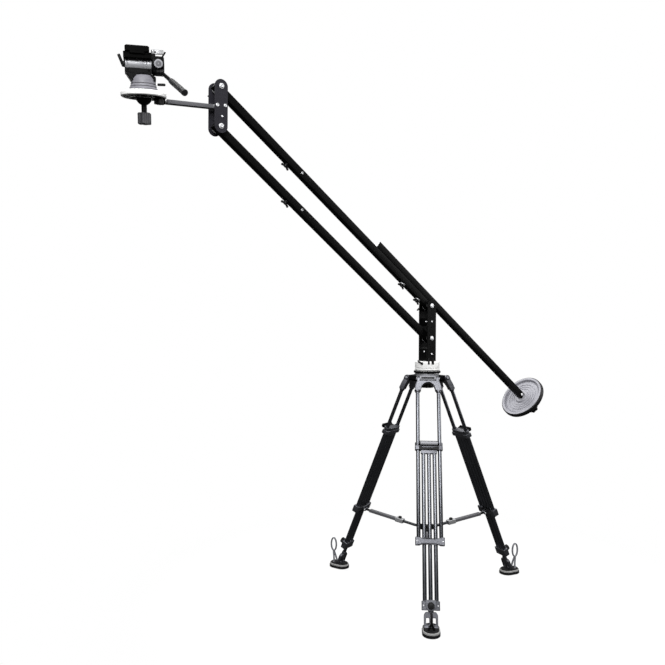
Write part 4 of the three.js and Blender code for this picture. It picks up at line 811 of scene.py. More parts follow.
@dataclass
class Leg:
    """One telescoping tripod leg with its foot and spreader arm."""

    places: Places
    name: str
    tube: float = 9
    outer: float = 50
    inner: float = 25.3
    yoke: float = 758
    stage: float = 690
    ankle: float = 1109.5
    arch_spring: float = -62
    collar_half: float = 18
    foot_radius: float = 515
    hub_radius: float = 40

    def __post_init__(self) -> None:
        """Reads the leg's frame and the heights of its collar and lower bracket."""
        self.frame = self.places.leg(self.name)
        self.collar = -self.places.collar(self.name, self.stage)
        self.bracket = self.collar - self.stage

    def build(self) -> None:
        """Makes every piece of the leg."""
        self.upper()
        self.middle()
        self.lever()
        self.lower()
        self.knob()
        self.foot()
        self.arm()

    def upper(self) -> None:
        """Arched casting, two outer tubes and the bow-tie yoke."""
        piece = Piece(f"leg_upper_{self.name}", self.frame, GREY_ANODISED)
        spring = self.arch_spring
        opening = [(x, spring + y * 40 / 34) for x, y in ring(34, 22, 0, 180)]
        arch = [(-52, -12), (52, -12), (60, -34), (65, spring), (34.5, spring), *opening,
                (-34.5, spring), (-65, spring), (-60, -34)]
        piece.prism(arch, -13, 13, Axis.Y, edge=2.2, finish=GREY_CASTING)
        ear = ring(13, 18, 0, 180) + [(-13, -22), (13, -22)]
        for side in (-1, 1):
            low, high = sorted((side * 38.4, side * 52))
            piece.prism(ear, low, high, Axis.X, edge=1.4, finish=GREY_CASTING)
            piece.bolt(6.5, Axis.X, (side * 51.5, 0, 0), side, 5, GREY_SKIN)
            x = side * self.outer
            piece.rod(self.tube, -self.yoke, -54, at=(x, 0, 0))
            piece.lathe([(8, -70), (12.2, -70), (12.8, -64), (12.8, -58), (8, -58)], at=(x, 0, 0),
                        edge=1.2, finish=GREY_CASTING)
        piece.rod(5, -52, 52, Axis.X, finish=BRIGHT_STEEL)
        self.yoke_casting(piece)
        piece.done(f"leg_{self.name}")

    def yoke_casting(self, piece: Piece) -> None:
        """The bow-tie casting that guides the inner tubes and carries the spreader arm."""
        z = -self.yoke
        half = [(-65, 18), (-47, 18), (-34, 12.5), (-15, 10), (0, 10), (15, 10), (34, 12.5),
                (47, 18), (65, 18)]
        outline = [(x, z + y) for x, y in half] + [(x, z - y) for x, y in reversed(half)]
        piece.prism(soften(outline, 3), -15, 15, Axis.Y, edge=2.4, finish=GREY_CASTING)
        ear = [(-12, z + 9), (-26, z + 9), *ring(9, 14, 90, 180, (-26, z)), (-26, z - 9),
               (-12, z - 9)]
        for side in (-1, 1):
            low, high = sorted((side * CHEEK_IN, side * CHEEK_OUT))
            piece.prism(ear, low, high, Axis.X, finish=GREY_CASTING)
            piece.bolt(3.6, Axis.X, (side * (CHEEK_OUT - 0.1), -26, z), side, 2.4)
            piece.bolt(3.2, Axis.Y, (side * 56, 14.8, z), 1, 2.2)
        for x in (-self.inner, 0, self.inner):
            piece.hoop(9.6, 12, z - 12.5, z + 12.5, at=(x, 0, 0), finish=BLACK_NYLON_AND_SHADE)

    def middle(self) -> None:
        """Sliding collar with the lever's recess, a black sheet that paints the recess's shade,
        inner tubes and lower bracket.
        """
        piece = Piece(f"leg_middle_{self.name}", self.frame, GREY_ANODISED)
        z, low = self.collar, self.bracket
        recess, high = z + 2, z + self.collar_half
        bores = [ring(9.4, 28, centre=(x, 0)) for x in (-self.outer, self.outer)]
        piece.prism(rectangle(-64, -17, 64, 17, 7), z - self.collar_half, recess, edge=1.6,
                    holes=bores, finish=GREY_CASTING)
        piece.prism(rectangle(-40, -17, 40, 10.3, 3), recess - 0.5, high, edge=1.4,
                    finish=GREY_CASTING)
        for x in (-self.outer, self.outer):
            piece.hoop(9.4, 14, recess - 0.5, high, at=(x, 0, 0), edge=1.2, finish=GREY_CASTING)
        # A thin black sheet on the collar's front is painted shade in the lever's recess.
        bow = mirrored([(46, z - 17), (47, z - 1), (24, z - 6)])
        piece.prism(soften(bow, 2), 15.5, 17.6, Axis.Y, edge=0.6, finish=BLACK_NYLON_AND_SHADE)
        piece.block((-37, -10, z - 34), (37, 10, z - 16), 2, GREY_CASTING)
        for x in (-self.inner, self.inner):
            piece.rod(self.tube, low + 10, z - 26, at=(x, 0, 0))
        piece.prism(rectangle(-39, -15, 39, 15, 6), low - 19, low + 19, edge=1.6,
                    holes=[ring(9.5, 28)], finish=GREY_CASTING)
        shield = [(-23, low + 23), (23, low + 23), (23, low), *ring(23, 16, 0, -180, (0, low)),
                  (-23, low)]
        piece.prism(shield, 14, 20, Axis.Y, edge=1.4, finish=GREY_CASTING)
        for x in (-31, 31):
            piece.bolt(3.2, Axis.Y, (x, 14.8, low), 1, 2.2)
        piece.done(f"leg_stage_{self.name}")

    def lever(self) -> None:
        """The curved flip lever on the collar, with a pale outer face."""
        piece = Piece(f"leg_lever_{self.name}", self.frame, DARK_CASTING_AND_SHADE)
        top = self.collar + self.collar_half
        side = [(11.2, top - 14.9), (22, top - 15.2), (31, top - 17), (36.5, top - 12),
                (37.5, top + 1), (32, top + 1), (30, top - 7), (24, top - 4.4), (11.2, top - 4)]
        piece.prism(soften(side, 1.5), -45.5, 45.5, Axis.X, edge=1.6)
        face = [(24.2, top - 15.9), (31.2, top - 17.4), (36.9, top - 12.2), (37.9, top - 2),
                (36.7, top - 2), (35.6, top - 11.4), (30.6, top - 15.6), (24.2, top - 14.4)]
        piece.prism(soften(face, 0.5), -40, 40, Axis.X, edge=0.4, finish=GREY_SKIN)
        piece.done(f"lever_{self.name}")

    def lower(self) -> None:
        """Centre tube and the forked spike with its ankle barrel."""
        piece = Piece(f"leg_lower_{self.name}", self.frame, GREY_ANODISED)
        ankle = -self.ankle
        crotch = ankle + 62
        piece.rod(self.tube, crotch - 10, self.collar - 34.4)
        fork = mirrored([(22, crotch), (30, crotch - 11), (30, ankle)])
        windows = [rectangle(x - 7, ankle + 13.5, x + 7, ankle + 37.5, 3) for x in (-14, 14)]
        piece.prism(soften(fork, 4), -7.5, 7.5, Axis.Y, edge=1.6, holes=windows,
                    finish=GREY_CASTING)
        piece.lathe([(9, crotch - 2), (12.5, crotch - 2), (11.5, crotch + 9), (9, crotch + 9)],
                    edge=1, finish=GREY_CASTING)
        piece.rod(10, -30, 30, Axis.X, (0, 0, ankle), 1.2, GREY_CASTING)
        for side in (-1, 1):
            piece.bolt(5, Axis.X, (side * 28.4, 0, ankle), side, 1.6)
        piece.done(f"leg_spike_{self.name}")

    def knob(self) -> None:
        """The round lock knob on the lower bracket."""
        piece = Piece(f"leg_knob_{self.name}", self.frame, BLACK_NYLON_AND_SHADE)
        at = (0, 0, self.bracket)
        piece.lathe([(0, 9.4), (3.5, 9.4), (3.5, 20.4), (6, 20.4), (7, 26), (0, 26)], Axis.Y, at,
                    0.5)
        piece.prism(lobed(15, 1.8, 12), 25.5, 41, Axis.Y, at, edge=2)
        piece.lathe([(0, 38), (8.5, 38), (8.5, 42), (7, 42.6), (0, 42.6)], Axis.Y, at, 0.4)
        piece.done(f"knob_{self.name}")

    def foot(self) -> None:
        """The rubber foot: sole, pale rim, upper and the strap that rises to a loop."""
        piece = Piece(f"foot_{self.name}", self.places.radial(self.name), BLACK_RUBBER)
        reach = self.foot_radius

        def stadium(cut: float) -> list[tuple]:
            """The sole's outline, drawn in by a cut."""
            r = 39 - cut
            return ring(r, 20, 0, 180, (0, reach + 23)) + ring(r, 20, 180, 180, (0, reach - 11))

        piece.prism(stadium(0.6), 0, 9, edge=1.6)
        piece.prism(stadium(0.3), 8.2, 12.6, edge=1)
        slot = rectangle(-30.4, reach - 17, 30.4, reach + 10, 2)
        piece.prism(stadium(2.2), 12, 21, edge=1.2, holes=[slot], finish=PALE_BAND)
        piece.prism(stadium(6), 20.4, 25, edge=1.8, holes=[slot])
        start, out = reach + 30, reach + 43
        front = self.name == "front"
        # The side feet's straps are painted light grey where they catch the light; the front foot's
        # strap stays black in its shade.
        strap = BLACK_RUBBER if front else LIT_STRAP_RUBBER
        centre, height = (74, 24) if front else (115, 34)
        rise = centre - height - 11
        for side in (-1, 1):
            path = [(side * x, start + y, 14 + rise * share) for x, y, share in (
                (16, 0, 0), (13, 2, 0.25), (8, 7, 0.6), (4, 12, 0.85), (2.2, 13, 1))]
            piece.sweep(path, rectangle(-4.6, -3, 4.6, 3, 1.4), finish=strap)
        loop = [(0, out + 16.4 * y, centre + height * z) for y, z in ring(1, 36)]
        piece.sweep(loop, rectangle(-4.4, -3.2, 4.4, 3.2, 1.4), closed=True, finish=strap)
        piece.done(f"pad_{self.name}")

    def arm(self) -> None:
        """The telescoping spreader arm: inner rod and outer sleeve."""
        place, length = self.places.arm(self.name, self.hub_radius)
        eye, bar = 4.9, 4.5
        inner = Piece(f"spreader_inner_{self.name}", place, DARK_CASTING_AND_SHADE)
        inner.rod(8, -eye, eye, Axis.X, edge=0.8)
        inner.block((-eye, 0, -bar), (eye, 24, bar), 1)
        inner.block((-8, 18, -bar), (8, 165, bar), 1.2, GREY_ANODISED)
        inner.done(f"arm_rod_{self.name}")
        outer = Piece(f"spreader_outer_{self.name}", place, DULL_GREY)
        end = length - 30
        bore = rectangle(-8.4, -4.9, 8.4, 4.9, 1)
        outer.prism(rectangle(-11, -7, 11, 7, 2), 120, end, Axis.Y, holes=[bore], edge=0.6)
        outer.prism(rectangle(-13.5, -10.5, 13.5, 10.5, 3), 88, 132, Axis.Y, holes=[bore], edge=1.4,
                    finish=PALE_ANODISED)
        outer.block((-10.5, end - 18, -6.5), (10.5, end + 2, 6.5), 1.6, DARK_CASTING_AND_SHADE)
        outer.block((-eye, end - 4, -bar), (eye, length, bar), 1, DARK_CASTING_AND_SHADE)
        outer.rod(8, -eye, eye, Axis.X, (0, length, 0), 0.8, DARK_CASTING_AND_SHADE)
        outer.prism(lobed(9, 1.4, 8), 10, 19.5, at=(0, 110, 0), edge=1.4, finish=BLACK_NYLON_AND_SHADE)
        outer.done(f"arm_sleeve_{self.name}", "pale_aluminium")


@dataclass
class Hub:
    """The spreader's hub with its three pairs of cheeks."""

    places: Places
    height: float = 300
    core: float = 14
    reach: float = 38

    def build(self) -> None:
        """Makes the hub."""
        piece = Piece("spreader_hub", self.places.base(), BLACK_NYLON_AND_SHADE)
        z, core, reach = self.height, self.core, self.reach
        piece.lathe([(0, z - 13), (core, z - 13), (core + 1, z), (core, z + 12), (9, z + 14),
                     (0, z + 14)], edge=1.2)
        cheek = [(8, z - 12), (reach, z - 12), *ring(12, 16, -90, 180, (reach, z)), (reach, z + 12),
                 (8, z + 12)]
        for leg in LEGS:
            piece.place = self.places.radial(leg)
            for side in (-1, 1):
                low, high = sorted((side * CHEEK_IN, side * CHEEK_OUT))
                piece.prism(cheek, low, high, Axis.X)
                piece.bolt(4, Axis.X, (side * (CHEEK_OUT - 0.1), reach + 2, z), side, 2.4)
        piece.done("hub")


@dataclass
class Booms:
    """The post plates, two parallel booms, the counterweight beam and their knobs."""

    places: Places
    half: float = 16
    wall: float = 3
    gap: float = 160
    length: float = 1419
    plate_in: float = 27
    plate_out: float = 33
    plate_half: float = 28
    seam: float = 967
    beam_z: float = 32.3
    weight_x: float = 842.3
    post_foot: float = -273.7
    screw_drop: float = 24.7

    def build(self) -> None:
        """Makes every piece from the post to the head plates."""
        self.post()
        self.boom("upper")
        self.boom("lower")
        self.splice("upper")
        self.splice("lower")
        self.beam()
        self.clamps()
        self.weight()
        self.head_plates()
        self.pivot_screw("post_clamp_bolt", "post_clamp_turn", "post_clamp")
        self.pivot_screw("head_clamp_bolt", "head_clamp_turn", "head_clamp")

    def plates(self, node: str, joint: str, outline: Outline,
               finish: Finish) -> tuple[Piece, Piece]:
        """Starts a near and a far side plate, with the lower pivot bolt fixed to the near one.

        Args:
            node: the start of both nodes' names.
            joint: the hinge at the upper pivot.
            outline: the plates' outline about the upper pivot.
            finish: the plates' finish.

        Returns:
            The near and the far plate, unfinished.
        """
        holes = [ring(6.3, 28, centre=(0, z)) for z in (0, -self.gap)]
        at = (0, 0, -self.gap)
        near = Piece(f"{node}_near", self.places.upright(joint), finish)
        near.prism(outline, -self.plate_out, -self.plate_in, Axis.Y, edge=0.7, holes=holes)
        near.rod(6, -34, 30, Axis.Y, at, finish=BRIGHT_STEEL)
        near.rod(10.9, -32.8, -34.6, Axis.Y, at, 0.3, BRIGHT_STEEL, 56)
        near.bolt(8.5, Axis.Y, (0, -34.4, -self.gap), -1, 5.6)
        far = Piece(f"{node}_far", self.places.upright(joint), finish)
        far.prism(outline, self.plate_in, self.plate_out, Axis.Y, edge=0.7, holes=holes)
        far.bolt(8.5, Axis.Y, (0, self.plate_out - 0.1, -self.gap), 1, 5)
        return near, far

    def post(self) -> None:
        """The two post plates with the blocks between them."""
        low, r, face = self.post_foot, self.plate_half, self.plate_out - 0.1
        outline = ring(r, 36, 0, 180) + [(-r, low), (r, low)]
        near, far = self.plates("post_plate", "boom_tilt", outline, BLACK_COAT)
        for z in (-78, -238):
            near.bolt(4.6, Axis.Y, (0, -face, z), -1, 3.2)
            far.bolt(4.6, Axis.Y, (0, face, z), 1, 3.2)
        near.done("post")
        lower = [(-r, low), (r, low), (r, low + 71), (-20, low + 71), (-r, low + 62)]
        for block in (lower, rectangle(-16, -94, r, -62, 1.5)):
            far.prism(block, -26.7, self.plate_in, Axis.Y, edge=1)
        for x, z in ((-r, -226), (-16, -78)):
            far.bolt(4.4, Axis.X, (x, -10, z), -1, 2.8)
        far.done("post")

    def tube(self, piece: Piece, start: float, end: float, z: float = 0.0) -> None:
        """A square tube along X with rounded corners."""
        piece.prism(square(self.half, 3, z), start, end, Axis.X, edge=0.5,
                    holes=[square(self.half - self.wall, 1.5, z)])

    def washers(self, piece: Piece, x: float) -> None:
        """The pale spacing washers and the bush at a pivot."""
        profile = [(6.4, 15.8), (19, 15.8), (19, 20.4), (15, 21.4), (15, 26.6), (6.4, 26.6)]
        for side in (-1, 1):
            piece.lathe([(r, side * h) for r, h in profile], Axis.Y, (x, 0, 0), 0.5, PALE_ANODISED)
        piece.rod(11, -15.5, 15.5, Axis.Y, (x, 0, 0))

    def side_bolts(self, piece: Piece, radius: float, height: float, at: tuple[float, float],
                   finish: Finish | None = None) -> None:
        """A bolt head on each side of a tube, at an X and Z."""
        x, z = at
        for side in (-1, 1):
            piece.bolt(radius, Axis.Y, (x, side * (self.half - 0.1), z), side, height, finish)

    def boom(self, level: str) -> None:
        """One boom in two lengths, joined over a spigot."""
        place = self.places.boom("boom_tilt" if level == "upper" else "lower_boom_tilt")
        rear = Piece(f"{level}_boom_rear", place, BLACK_COAT)
        self.tube(rear, -self.seam, 24)
        rear.prism(square(12.7, 1), -1045, -857, Axis.X, edge=1, finish=PALE_ANODISED)
        rear.prism(square(13, 1), 20.5, 23.4, Axis.X, edge=0.5, finish=BLACK_NYLON_AND_SHADE)
        self.side_bolts(rear, 6, 2.6, (-929, 0), PALE_ANODISED)
        self.side_bolts(rear, 4, 2.6, (-880, 0), BLACK_NYLON_AND_SHADE)
        self.washers(rear, 0)
        rear.done(f"{level}_boom")
        front = Piece(f"{level}_boom_front", place, BLACK_COAT)
        self.tube(front, -self.length - 20, -self.seam - 0.3)
        front.prism(square(13, 1), -self.length - 19, -self.length - 15, Axis.X, edge=0.6,
                    finish=BLACK_NYLON_AND_SHADE)
        self.washers(front, -self.length)
        front.done(f"{level}_boom")

    def wing_screw(self, piece: Piece, stud: float) -> None:
        """A wing screw that hangs from its seat at height zero, with its stud going up."""
        piece.rod(4, -4, stud, finish=BRIGHT_STEEL, sides=24)
        piece.lathe([(0, 0), (9, 0), (9, -3.6), (6.6, -4.4), (6.4, -13), (5, -16), (0, -16)])
        wing = [(-6, -3), (6, -3), (12, -9), (21, -11), (21.5, -18), (17, -21), (9, -17),
                (0, -15.5), (-9, -17), (-17, -21), (-21.5, -18), (-21, -11), (-12, -9)]
        piece.prism(soften(wing, 2.5), -2.6, 2.6, Axis.Y, edge=1.2)

    def seat_place(self, joint: str) -> Matrix:
        """The seat of a screw on a boom's underside, with Z along the stud."""
        up = -self.places.axis(joint)
        seat = self.places.spot(joint) + up * (self.screw_drop - self.half)
        return Places.frame(seat, self.places.axis("counter_beam_slide"), up)

    def splice(self, level: str) -> None:
        """The wing screw under a boom's splice."""
        joint = f"{level}_splice_turn"
        piece = Piece(f"{level}_splice_knob", self.seat_place(joint), BLACK_NYLON_AND_SHADE)
        self.wing_screw(piece, 10)
        piece.done(f"{level}_splice")

    def beam(self) -> None:
        """The counterweight beam with its end cap and spindle."""
        piece = Piece("counter_beam", self.places.boom("boom_tilt"), BLACK_COAT)
        z = self.beam_z
        at = (0, 0, z)
        self.tube(piece, -425, 842, z)
        piece.prism(square(15.6, 2.5), -428, -424.8, Axis.X, at, finish=PALE_ANODISED)
        piece.prism(square(12.9, 1), 812, 841.8, Axis.X, at, edge=0.6)
        piece.rod(12.5, 840, 985, Axis.X, at, 1, BRIGHT_STEEL)
        for x in range(898, 967, 4):
            piece.lathe([(12, x - 1.6), (12.9, x), (12, x + 1.6)], Axis.X, at, 0, BRIGHT_STEEL, 32)
        self.side_bolts(piece, 7.4, 4.6, (827, z))
        piece.done("counter_arm")

    def clamps(self) -> None:
        """The two screws that clamp the beam to the boom."""
        for name, body in (("front", "beam_clamp_a"), ("rear", "beam_clamp_b")):
            place = self.seat_place(f"beam_clamp_{name}_turn")
            piece = Piece(f"beam_clamp_{name}", place, BLACK_NYLON_AND_SHADE)
            self.wing_screw(piece, 40)
            piece.prism(ring(8, 6), 35.9, 40.9, edge=0.6, finish=BRIGHT_STEEL)
            piece.hoop(9.2, 14, -0.2, -5, edge=0.6, finish=PALE_ANODISED)
            piece.done(body)

    def weight(self) -> None:
        """The round weight plate and the knob that holds it."""
        place = self.places.boom("boom_tilt")
        disc = Piece("weight_plate", place, GREY_IRON)
        at = (self.weight_x, 0, self.beam_z)
        disc.lathe([(13.2, 1), (33, 1), (36, 3), (40, 10), (99, 11), (100.6, 15), (105.6, 15),
                    (106.4, 3), (109, 0.2), (119.8, 0.2), (119.8, 20), (13.2, 20)], Axis.X, at, 1.4,
                   sides=128)
        # The rim's side and outer face are near black as painted shade; the inner face keeps the
        # pale paint.
        disc.lathe([(13.2, 19), (119.4, 19), (119.4, 0.6), (120.6, 0.4), (124.8, 4.8),
                    (124.8, 22.5), (120, 27.8), (44, 27.8), (39, 23.2), (34, 27.8), (13.2, 27.8)],
                   Axis.X, at, 1.2, SHADED_EDGE_IRON, 128)
        for r in (52, 66, 80):
            disc.lathe([(r - 1.2, 8), (r + 1.2, 8), (r + 0.6, 10.6), (r - 0.6, 10.6)], Axis.X, at,
                       0.2, sides=128)
        disc.hoop(13, 17, 0.2, 27.9, Axis.X, at, 0.5, BRIGHT_STEEL)
        disc.done("counter_arm")
        knob = Piece("weight_knob", place, BLACK_NYLON_AND_SHADE)
        back = (self.weight_x + 28.3, 0, self.beam_z)
        knob.lathe([(13.2, 0), (22, 0), (22, 5), (17, 8), (17, 70), (20, 79), (13.2, 79)], Axis.X,
                   back, 1.2)
        for x in range(14, 67, 4):
            knob.lathe([(16, x), (17.9, x + 0.9), (16, x + 1.8)], Axis.X, back, 0, sides=40)
        knob.prism(lobed(26, 4.2, 6, 12), 76, 108, Axis.X, back, edge=3)
        knob.done("weight_clamp")

    def head_plates(self) -> None:
        """The two head plates with round ends and their bolts."""
        r, face = self.plate_half, self.plate_out - 0.1
        outline = ring(r, 36, 0, 180) + ring(r, 36, 180, 180, (0, -self.gap))
        near, far = self.plates("head_plate", "head_leveller", outline, GREY_COAT)
        for x in (-ARM_BOLT, ARM_BOLT):
            z = x * ARM_SLOPE - ARM_DROP
            near.bolt(7.2, Axis.Y, (x, -face, z), -1, 4.2)
            far.bolt(6, Axis.Y, (x, face, z), 1, 3)
        near.bolt(4.6, Axis.Y, (3, -face, -121), -1, 3)
        near.done("head_bracket")
        far.rod(7, -26.7, 27.5, Axis.Y, (3, 0, -121), finish=PALE_ANODISED)
        far.done("head_bracket")

    def pivot_screw(self, node: str, joint: str, body: str) -> None:
        """The clamp screw through an upper pivot, with its wing knob on the far side."""
        piece = Piece(node, self.places.upright(joint), BRIGHT_STEEL)
        piece.rod(6, -34, 36, Axis.Y)
        piece.rod(11, -33.4, -35, Axis.Y, edge=0.3, sides=56)
        piece.bolt(8.5, Axis.Y, (0, -34.8, 0), -1, 5.2)
        piece.place = piece.place @ turned(-48, "Y")
        piece.lathe([(0, 33.8), (11, 33.8), (11, 37), (8.6, 41), (8, 54), (0, 54)], Axis.Y,
                    finish=BLACK_NYLON_AND_SHADE)
        wing = [(4, 40), (15, 42), (29, 49), (31, 57), (25, 60), (12, 55), (4, 53)]
        for side in (-1, 1):
            flat = soften([(side * x, y) for x, y in wing], 2)
            piece.prism(flat, -2.6, 2.6, edge=1.1, finish=BLACK_NYLON_AND_SHADE)
        piece.done(body)


@dataclass
class Platform:
    """The platform arm and the round platform that rolls on the arm's end."""

    places: Places
    radius: float = 84.5
    deep: float = 20
    reach: float = 306
    rise: float = 27
    ball: float = 50.2
    knob_at: Point = (46, -44, 0)

    def build(self) -> None:
        """Makes the arm, the bowl and its knob."""
        self.arm()
        self.bowl()
        self.knob()

    def arm(self) -> None:
        """The flat bar between the head plates and its round end."""
        piece = Piece("platform_arm", self.places.bar(), DULL_GREY)
        stop = -self.reach + self.radius + 3
        piece.prism(rectangle(-11, -8, 11, 8, 1.6), stop, 24, Axis.X, edge=1.2)
        for x in (-ARM_BOLT, ARM_BOLT):
            piece.rod(9, -26.6, 26.6, Axis.Y, (x, 0, 0), 0.8, PALE_ANODISED)
        piece.rod(6.5, stop - 42, stop + 2, Axis.X, edge=1, finish=BRIGHT_STEEL)
        piece.done("head_bracket")

    def bowl(self) -> None:
        """The white platform: a thick disc with a seat for the ball and a sleeve under it, and a
        dark ring on its underside as painted shade.
        """
        piece = Piece("platform_bowl", self.places.deck(), WHITE_ENAMEL)
        r, low = self.radius, -self.deep
        seat = ball_profile(self.ball, low + 3.2, self.deep - 3.6, 6)
        rim = seat[-1][0]
        profile = [(r - 8, low + 3.2), (r - 8, low), (r - 3, low), (r, low + 3), (r, -6),
                   (r - 6, 0), (rim, 0)]
        piece.lathe([*profile, *reversed(seat)], edge=1.2, sides=128)
        # The dark ring over the underside is painted shade under the white disc; the white lip
        # round it stays.
        piece.hoop(29, r - 8.2, low + 0.6, low + 3.6, edge=0.4, finish=DARK_CASTING_AND_SHADE, sides=96)
        piece.hoop(26, 33, low, low + 3, finish=DARK_CASTING_AND_SHADE, sides=72)
        piece.lathe([(rim - 0.2, -0.8), (57, -0.8), (57, 0), (rim + 0.8, 0)], edge=0.3,
                    finish=PALE_ANODISED, sides=96)
        piece.prism(rectangle(-14, -self.rise - 12, 14, low + 2, 3), 44, 80, Axis.X, edge=1.4,
                    holes=[ring(6.8, 28, centre=(0, -self.rise))], finish=DARK_CASTING_AND_SHADE)
        piece.bolt(4, Axis.Y, (62, -13.9, -self.rise), -1, 1.6)
        piece.rod(12, low - 6, low + 3, at=self.knob_at, finish=DARK_CASTING_AND_SHADE)
        piece.done("platform")

    def knob(self) -> None:
        """The small clamp knob under the rim."""
        piece = Piece("bowl_clamp_knob", self.places.deck(), BLACK_NYLON_AND_SHADE)
        top, at = -self.deep - 6.3, self.knob_at
        piece.rod(4, top - 4, top + 8, at=at, finish=BRIGHT_STEEL)
        piece.prism(lobed(16, 2.6, 6, 12), top - 20, top, at=at, edge=2)
        piece.rod(7, top - 20.2, top - 18, at=at, finish=BRIGHT_STEEL)
        piece.done("bowl_clamp")


@dataclass
class FluidHead:
    """The levelling fluid head with its handle."""

    places: Places
    tilt_height: float = 97
    ball: float = 49.1

    def build(self) -> None:
        """Makes every piece of the head."""
        self.base()
        self.cup()
        self.pan_key()
        self.pan_body()
        self.tilt_unit()
        self.plate()
        self.controls()
        self.handle()

    def base(self) -> None:
        """The half ball and the stepped cone above it."""
        piece = Piece("head_base", self.places.deck(), GREY_PAINT)
        low, high = -17.8, 6
        ball = ball_profile(self.ball, low, high - low, 8)
        piece.lathe([(0, low), *ball, (0, high)], edge=0, finish=PALE_ANODISED, sides=80)
        piece.rod(4, -47, -16, finish=BRIGHT_STEEL)
        piece.lathe([(0, high), (52, high), (52, 12.6), (50.6, 14.6), (48.4, 15.4), (48.4, 22.2),
                     (46.8, 23.4), (46.2, 26), (45, 43), (36, 57), (20, 62), (0, 63.4)], edge=0.9,
                    sides=96)
        for inner, outer, z in ((46.4, 49, 15.8), (44.6, 47, 26.4)):
            piece.hoop(inner, outer, z, z + 1.6, edge=0.3, finish=BLACK_NYLON_AND_SHADE, sides=96)
        piece.done("fluid_head")

    def cup(self) -> None:
        """The ball clamp under the platform: cup, stem and lobed knob."""
        piece = Piece("ball_clamp_knob", self.places.deck(), BLACK_NYLON_AND_SHADE)
        piece.lathe([(4.4, -23.5), (28, -23.5), (28, -31.5), (20, -41.5), (12, -46.5), (10, -48.5),
                     (10, -77), (0, -77), (0, -47), (4.4, -47)], edge=1.2, sides=72)
        for z in (-52, -58, -64):
            piece.hoop(9, 10.6, z, z - 2.4, edge=0.4)
        piece.prism(lobed(26, 5, 6, 12), -118.5, -76, edge=2.6, finish=WORN_NYLON)
        piece.lathe([(0, -74), (13, -74), (18, -77), (0, -77)])
        piece.rod(11, -118.4, -116, finish=DARK_CASTING_AND_SHADE)
        piece.done("ball_clamp")

    def pan_key(self) -> None:
        """The thumb key that locks the pan."""
        out = self.places.axis("head_pan_lock_turn")
        up = self.places.axis("head_pan")
        place = Places.frame(self.places.spot("head_pan_lock_turn"), out.cross(up), up)
        piece = Piece("head_pan_lock", place, BLACK_NYLON_AND_SHADE)
        piece.rod(2.4, -7, 4, Axis.Y, finish=BRIGHT_STEEL)
        key = mirrored([(4, 2.9), (5.4, 12), (5.4, 28), (3, 32.4)])
        piece.prism(soften(key, 2), -4.4, 4.4, edge=1.6)
        piece.done("head_pan_key")

    def pan_body(self) -> None:
        """The cradle under the tilt drum, arched over the dome of the base."""
        piece = Piece("head_pan_body", self.places.tilt(), DARK_CASTING_AND_SHADE)
        z, bore = -self.tilt_height, 30.4
        low, high = 65.9 + z, 81 + z
        start = math.degrees(math.asin(high / bore))
        trough = ring(bore, 28, 180 - start, 180 + 2 * start)
        cradle = [(-28, high), *trough, (28, high), (28, low), (-28, low)]
        piece.prism(cradle, -66, 31, Axis.X, edge=0)
        arch = [(-36.4, 37), (-35.6, 43.6), (-23.9, 57.6), (-12, 60.6), (12, 60.6), (23.9, 57.6),
                (35.6, 43.6), (36.4, 37)]
        lobes = [(-65.6, 67.2), (-46, 37), *arch, (46, 37), (46, 52), (31, 60), (31, 66.6),
                 (-65.2, 66.6)]
        piece.prism(soften(lobes, 2.5), -28, 28, Axis.Y, (0, 0, z), edge=1.6)
        for x in (-54, 21):
            piece.bolt(4, Axis.Y, (x, -27.8, 74 + z), -1, 2.2, BLACK_COAT)
        piece.done("pan_unit")

    def tilt_unit(self) -> None:
        """The silver drum, the black housing, the deck and the handle's lug."""
        piece = Piece("head_tilt_drum", self.places.tilt(), DARK_CASTING_AND_SHADE)
        drum = [(0, -64), (29.2, -64), (30, -62.4), (30, -58), (28.4, -57), (28.4, -55),
                (29.8, -54), (29.8, 1), (28.6, 2), (28.6, 4), (29.8, 5), (29.8, 12), (28.6, 13),
                (28.6, 15), (29.8, 16), (29.8, 30), (28, 31), (0, 31)]
        piece.lathe(drum, Axis.X, edge=0.5, finish=SILVER_SATIN, sides=96)
        piece.lathe([(0, 32.6), (33, 33), (35.2, 34.4), (36, 37), (36, 73), (33, 77.4), (22, 78),
                     (0, 78)], Axis.X, edge=1.6, sides=96)
        piece.rod(15, 30, 34, Axis.X)
        piece.rod(29.4, 30.4, 32.8, Axis.X, finish=BLACK_NYLON_AND_SHADE)
        for x in (44, 51, 58, 65):
            piece.lathe([(34, x), (35.9, x + 0.8), (35.9, x + 2.2), (34, x + 3)], Axis.X, edge=0.2,
                        finish=BLACK_NYLON_AND_SHADE, sides=96)
        piece.prism(rectangle(-70, -48, 30, 48, 4), 16, 31, edge=1.6, finish=DEEP_BLACK)
        for x0, x1 in ((-70, -47.4), (7.4, 30)):
            piece.prism(rectangle(x0, -48, x1, 48, 3), 30, 38, edge=1.2, finish=DEEP_BLACK)
        piece.prism(rectangle(26, -30, 46, -10, 3), 16, 38, edge=1.4)
        piece.sweep([(68, -24, 22), (74, -30, 34), (82, -34, 46)], rectangle(-3.6, -3, 3.6, 3, 1.4),
                    up=(0, 1, 0), finish=BLACK_NYLON_AND_SHADE)
        piece.rod(9, -42, -28, Axis.Y, (DIAL_X, 0, 0), 1)
        piece.rod(13, 48, 60, Axis.X, (0, -40, -30), 1.2)
        piece.block((48.4, -40, -38), (59.6, -20, -22), 1)
        for x, y in ((-62, -40), (-62, 40), (22, -40), (22, 40)):
            piece.bolt(3.4, Axis.Z, (x, y, 37.6), 1, 1.6)
        piece.done("tilt_unit")

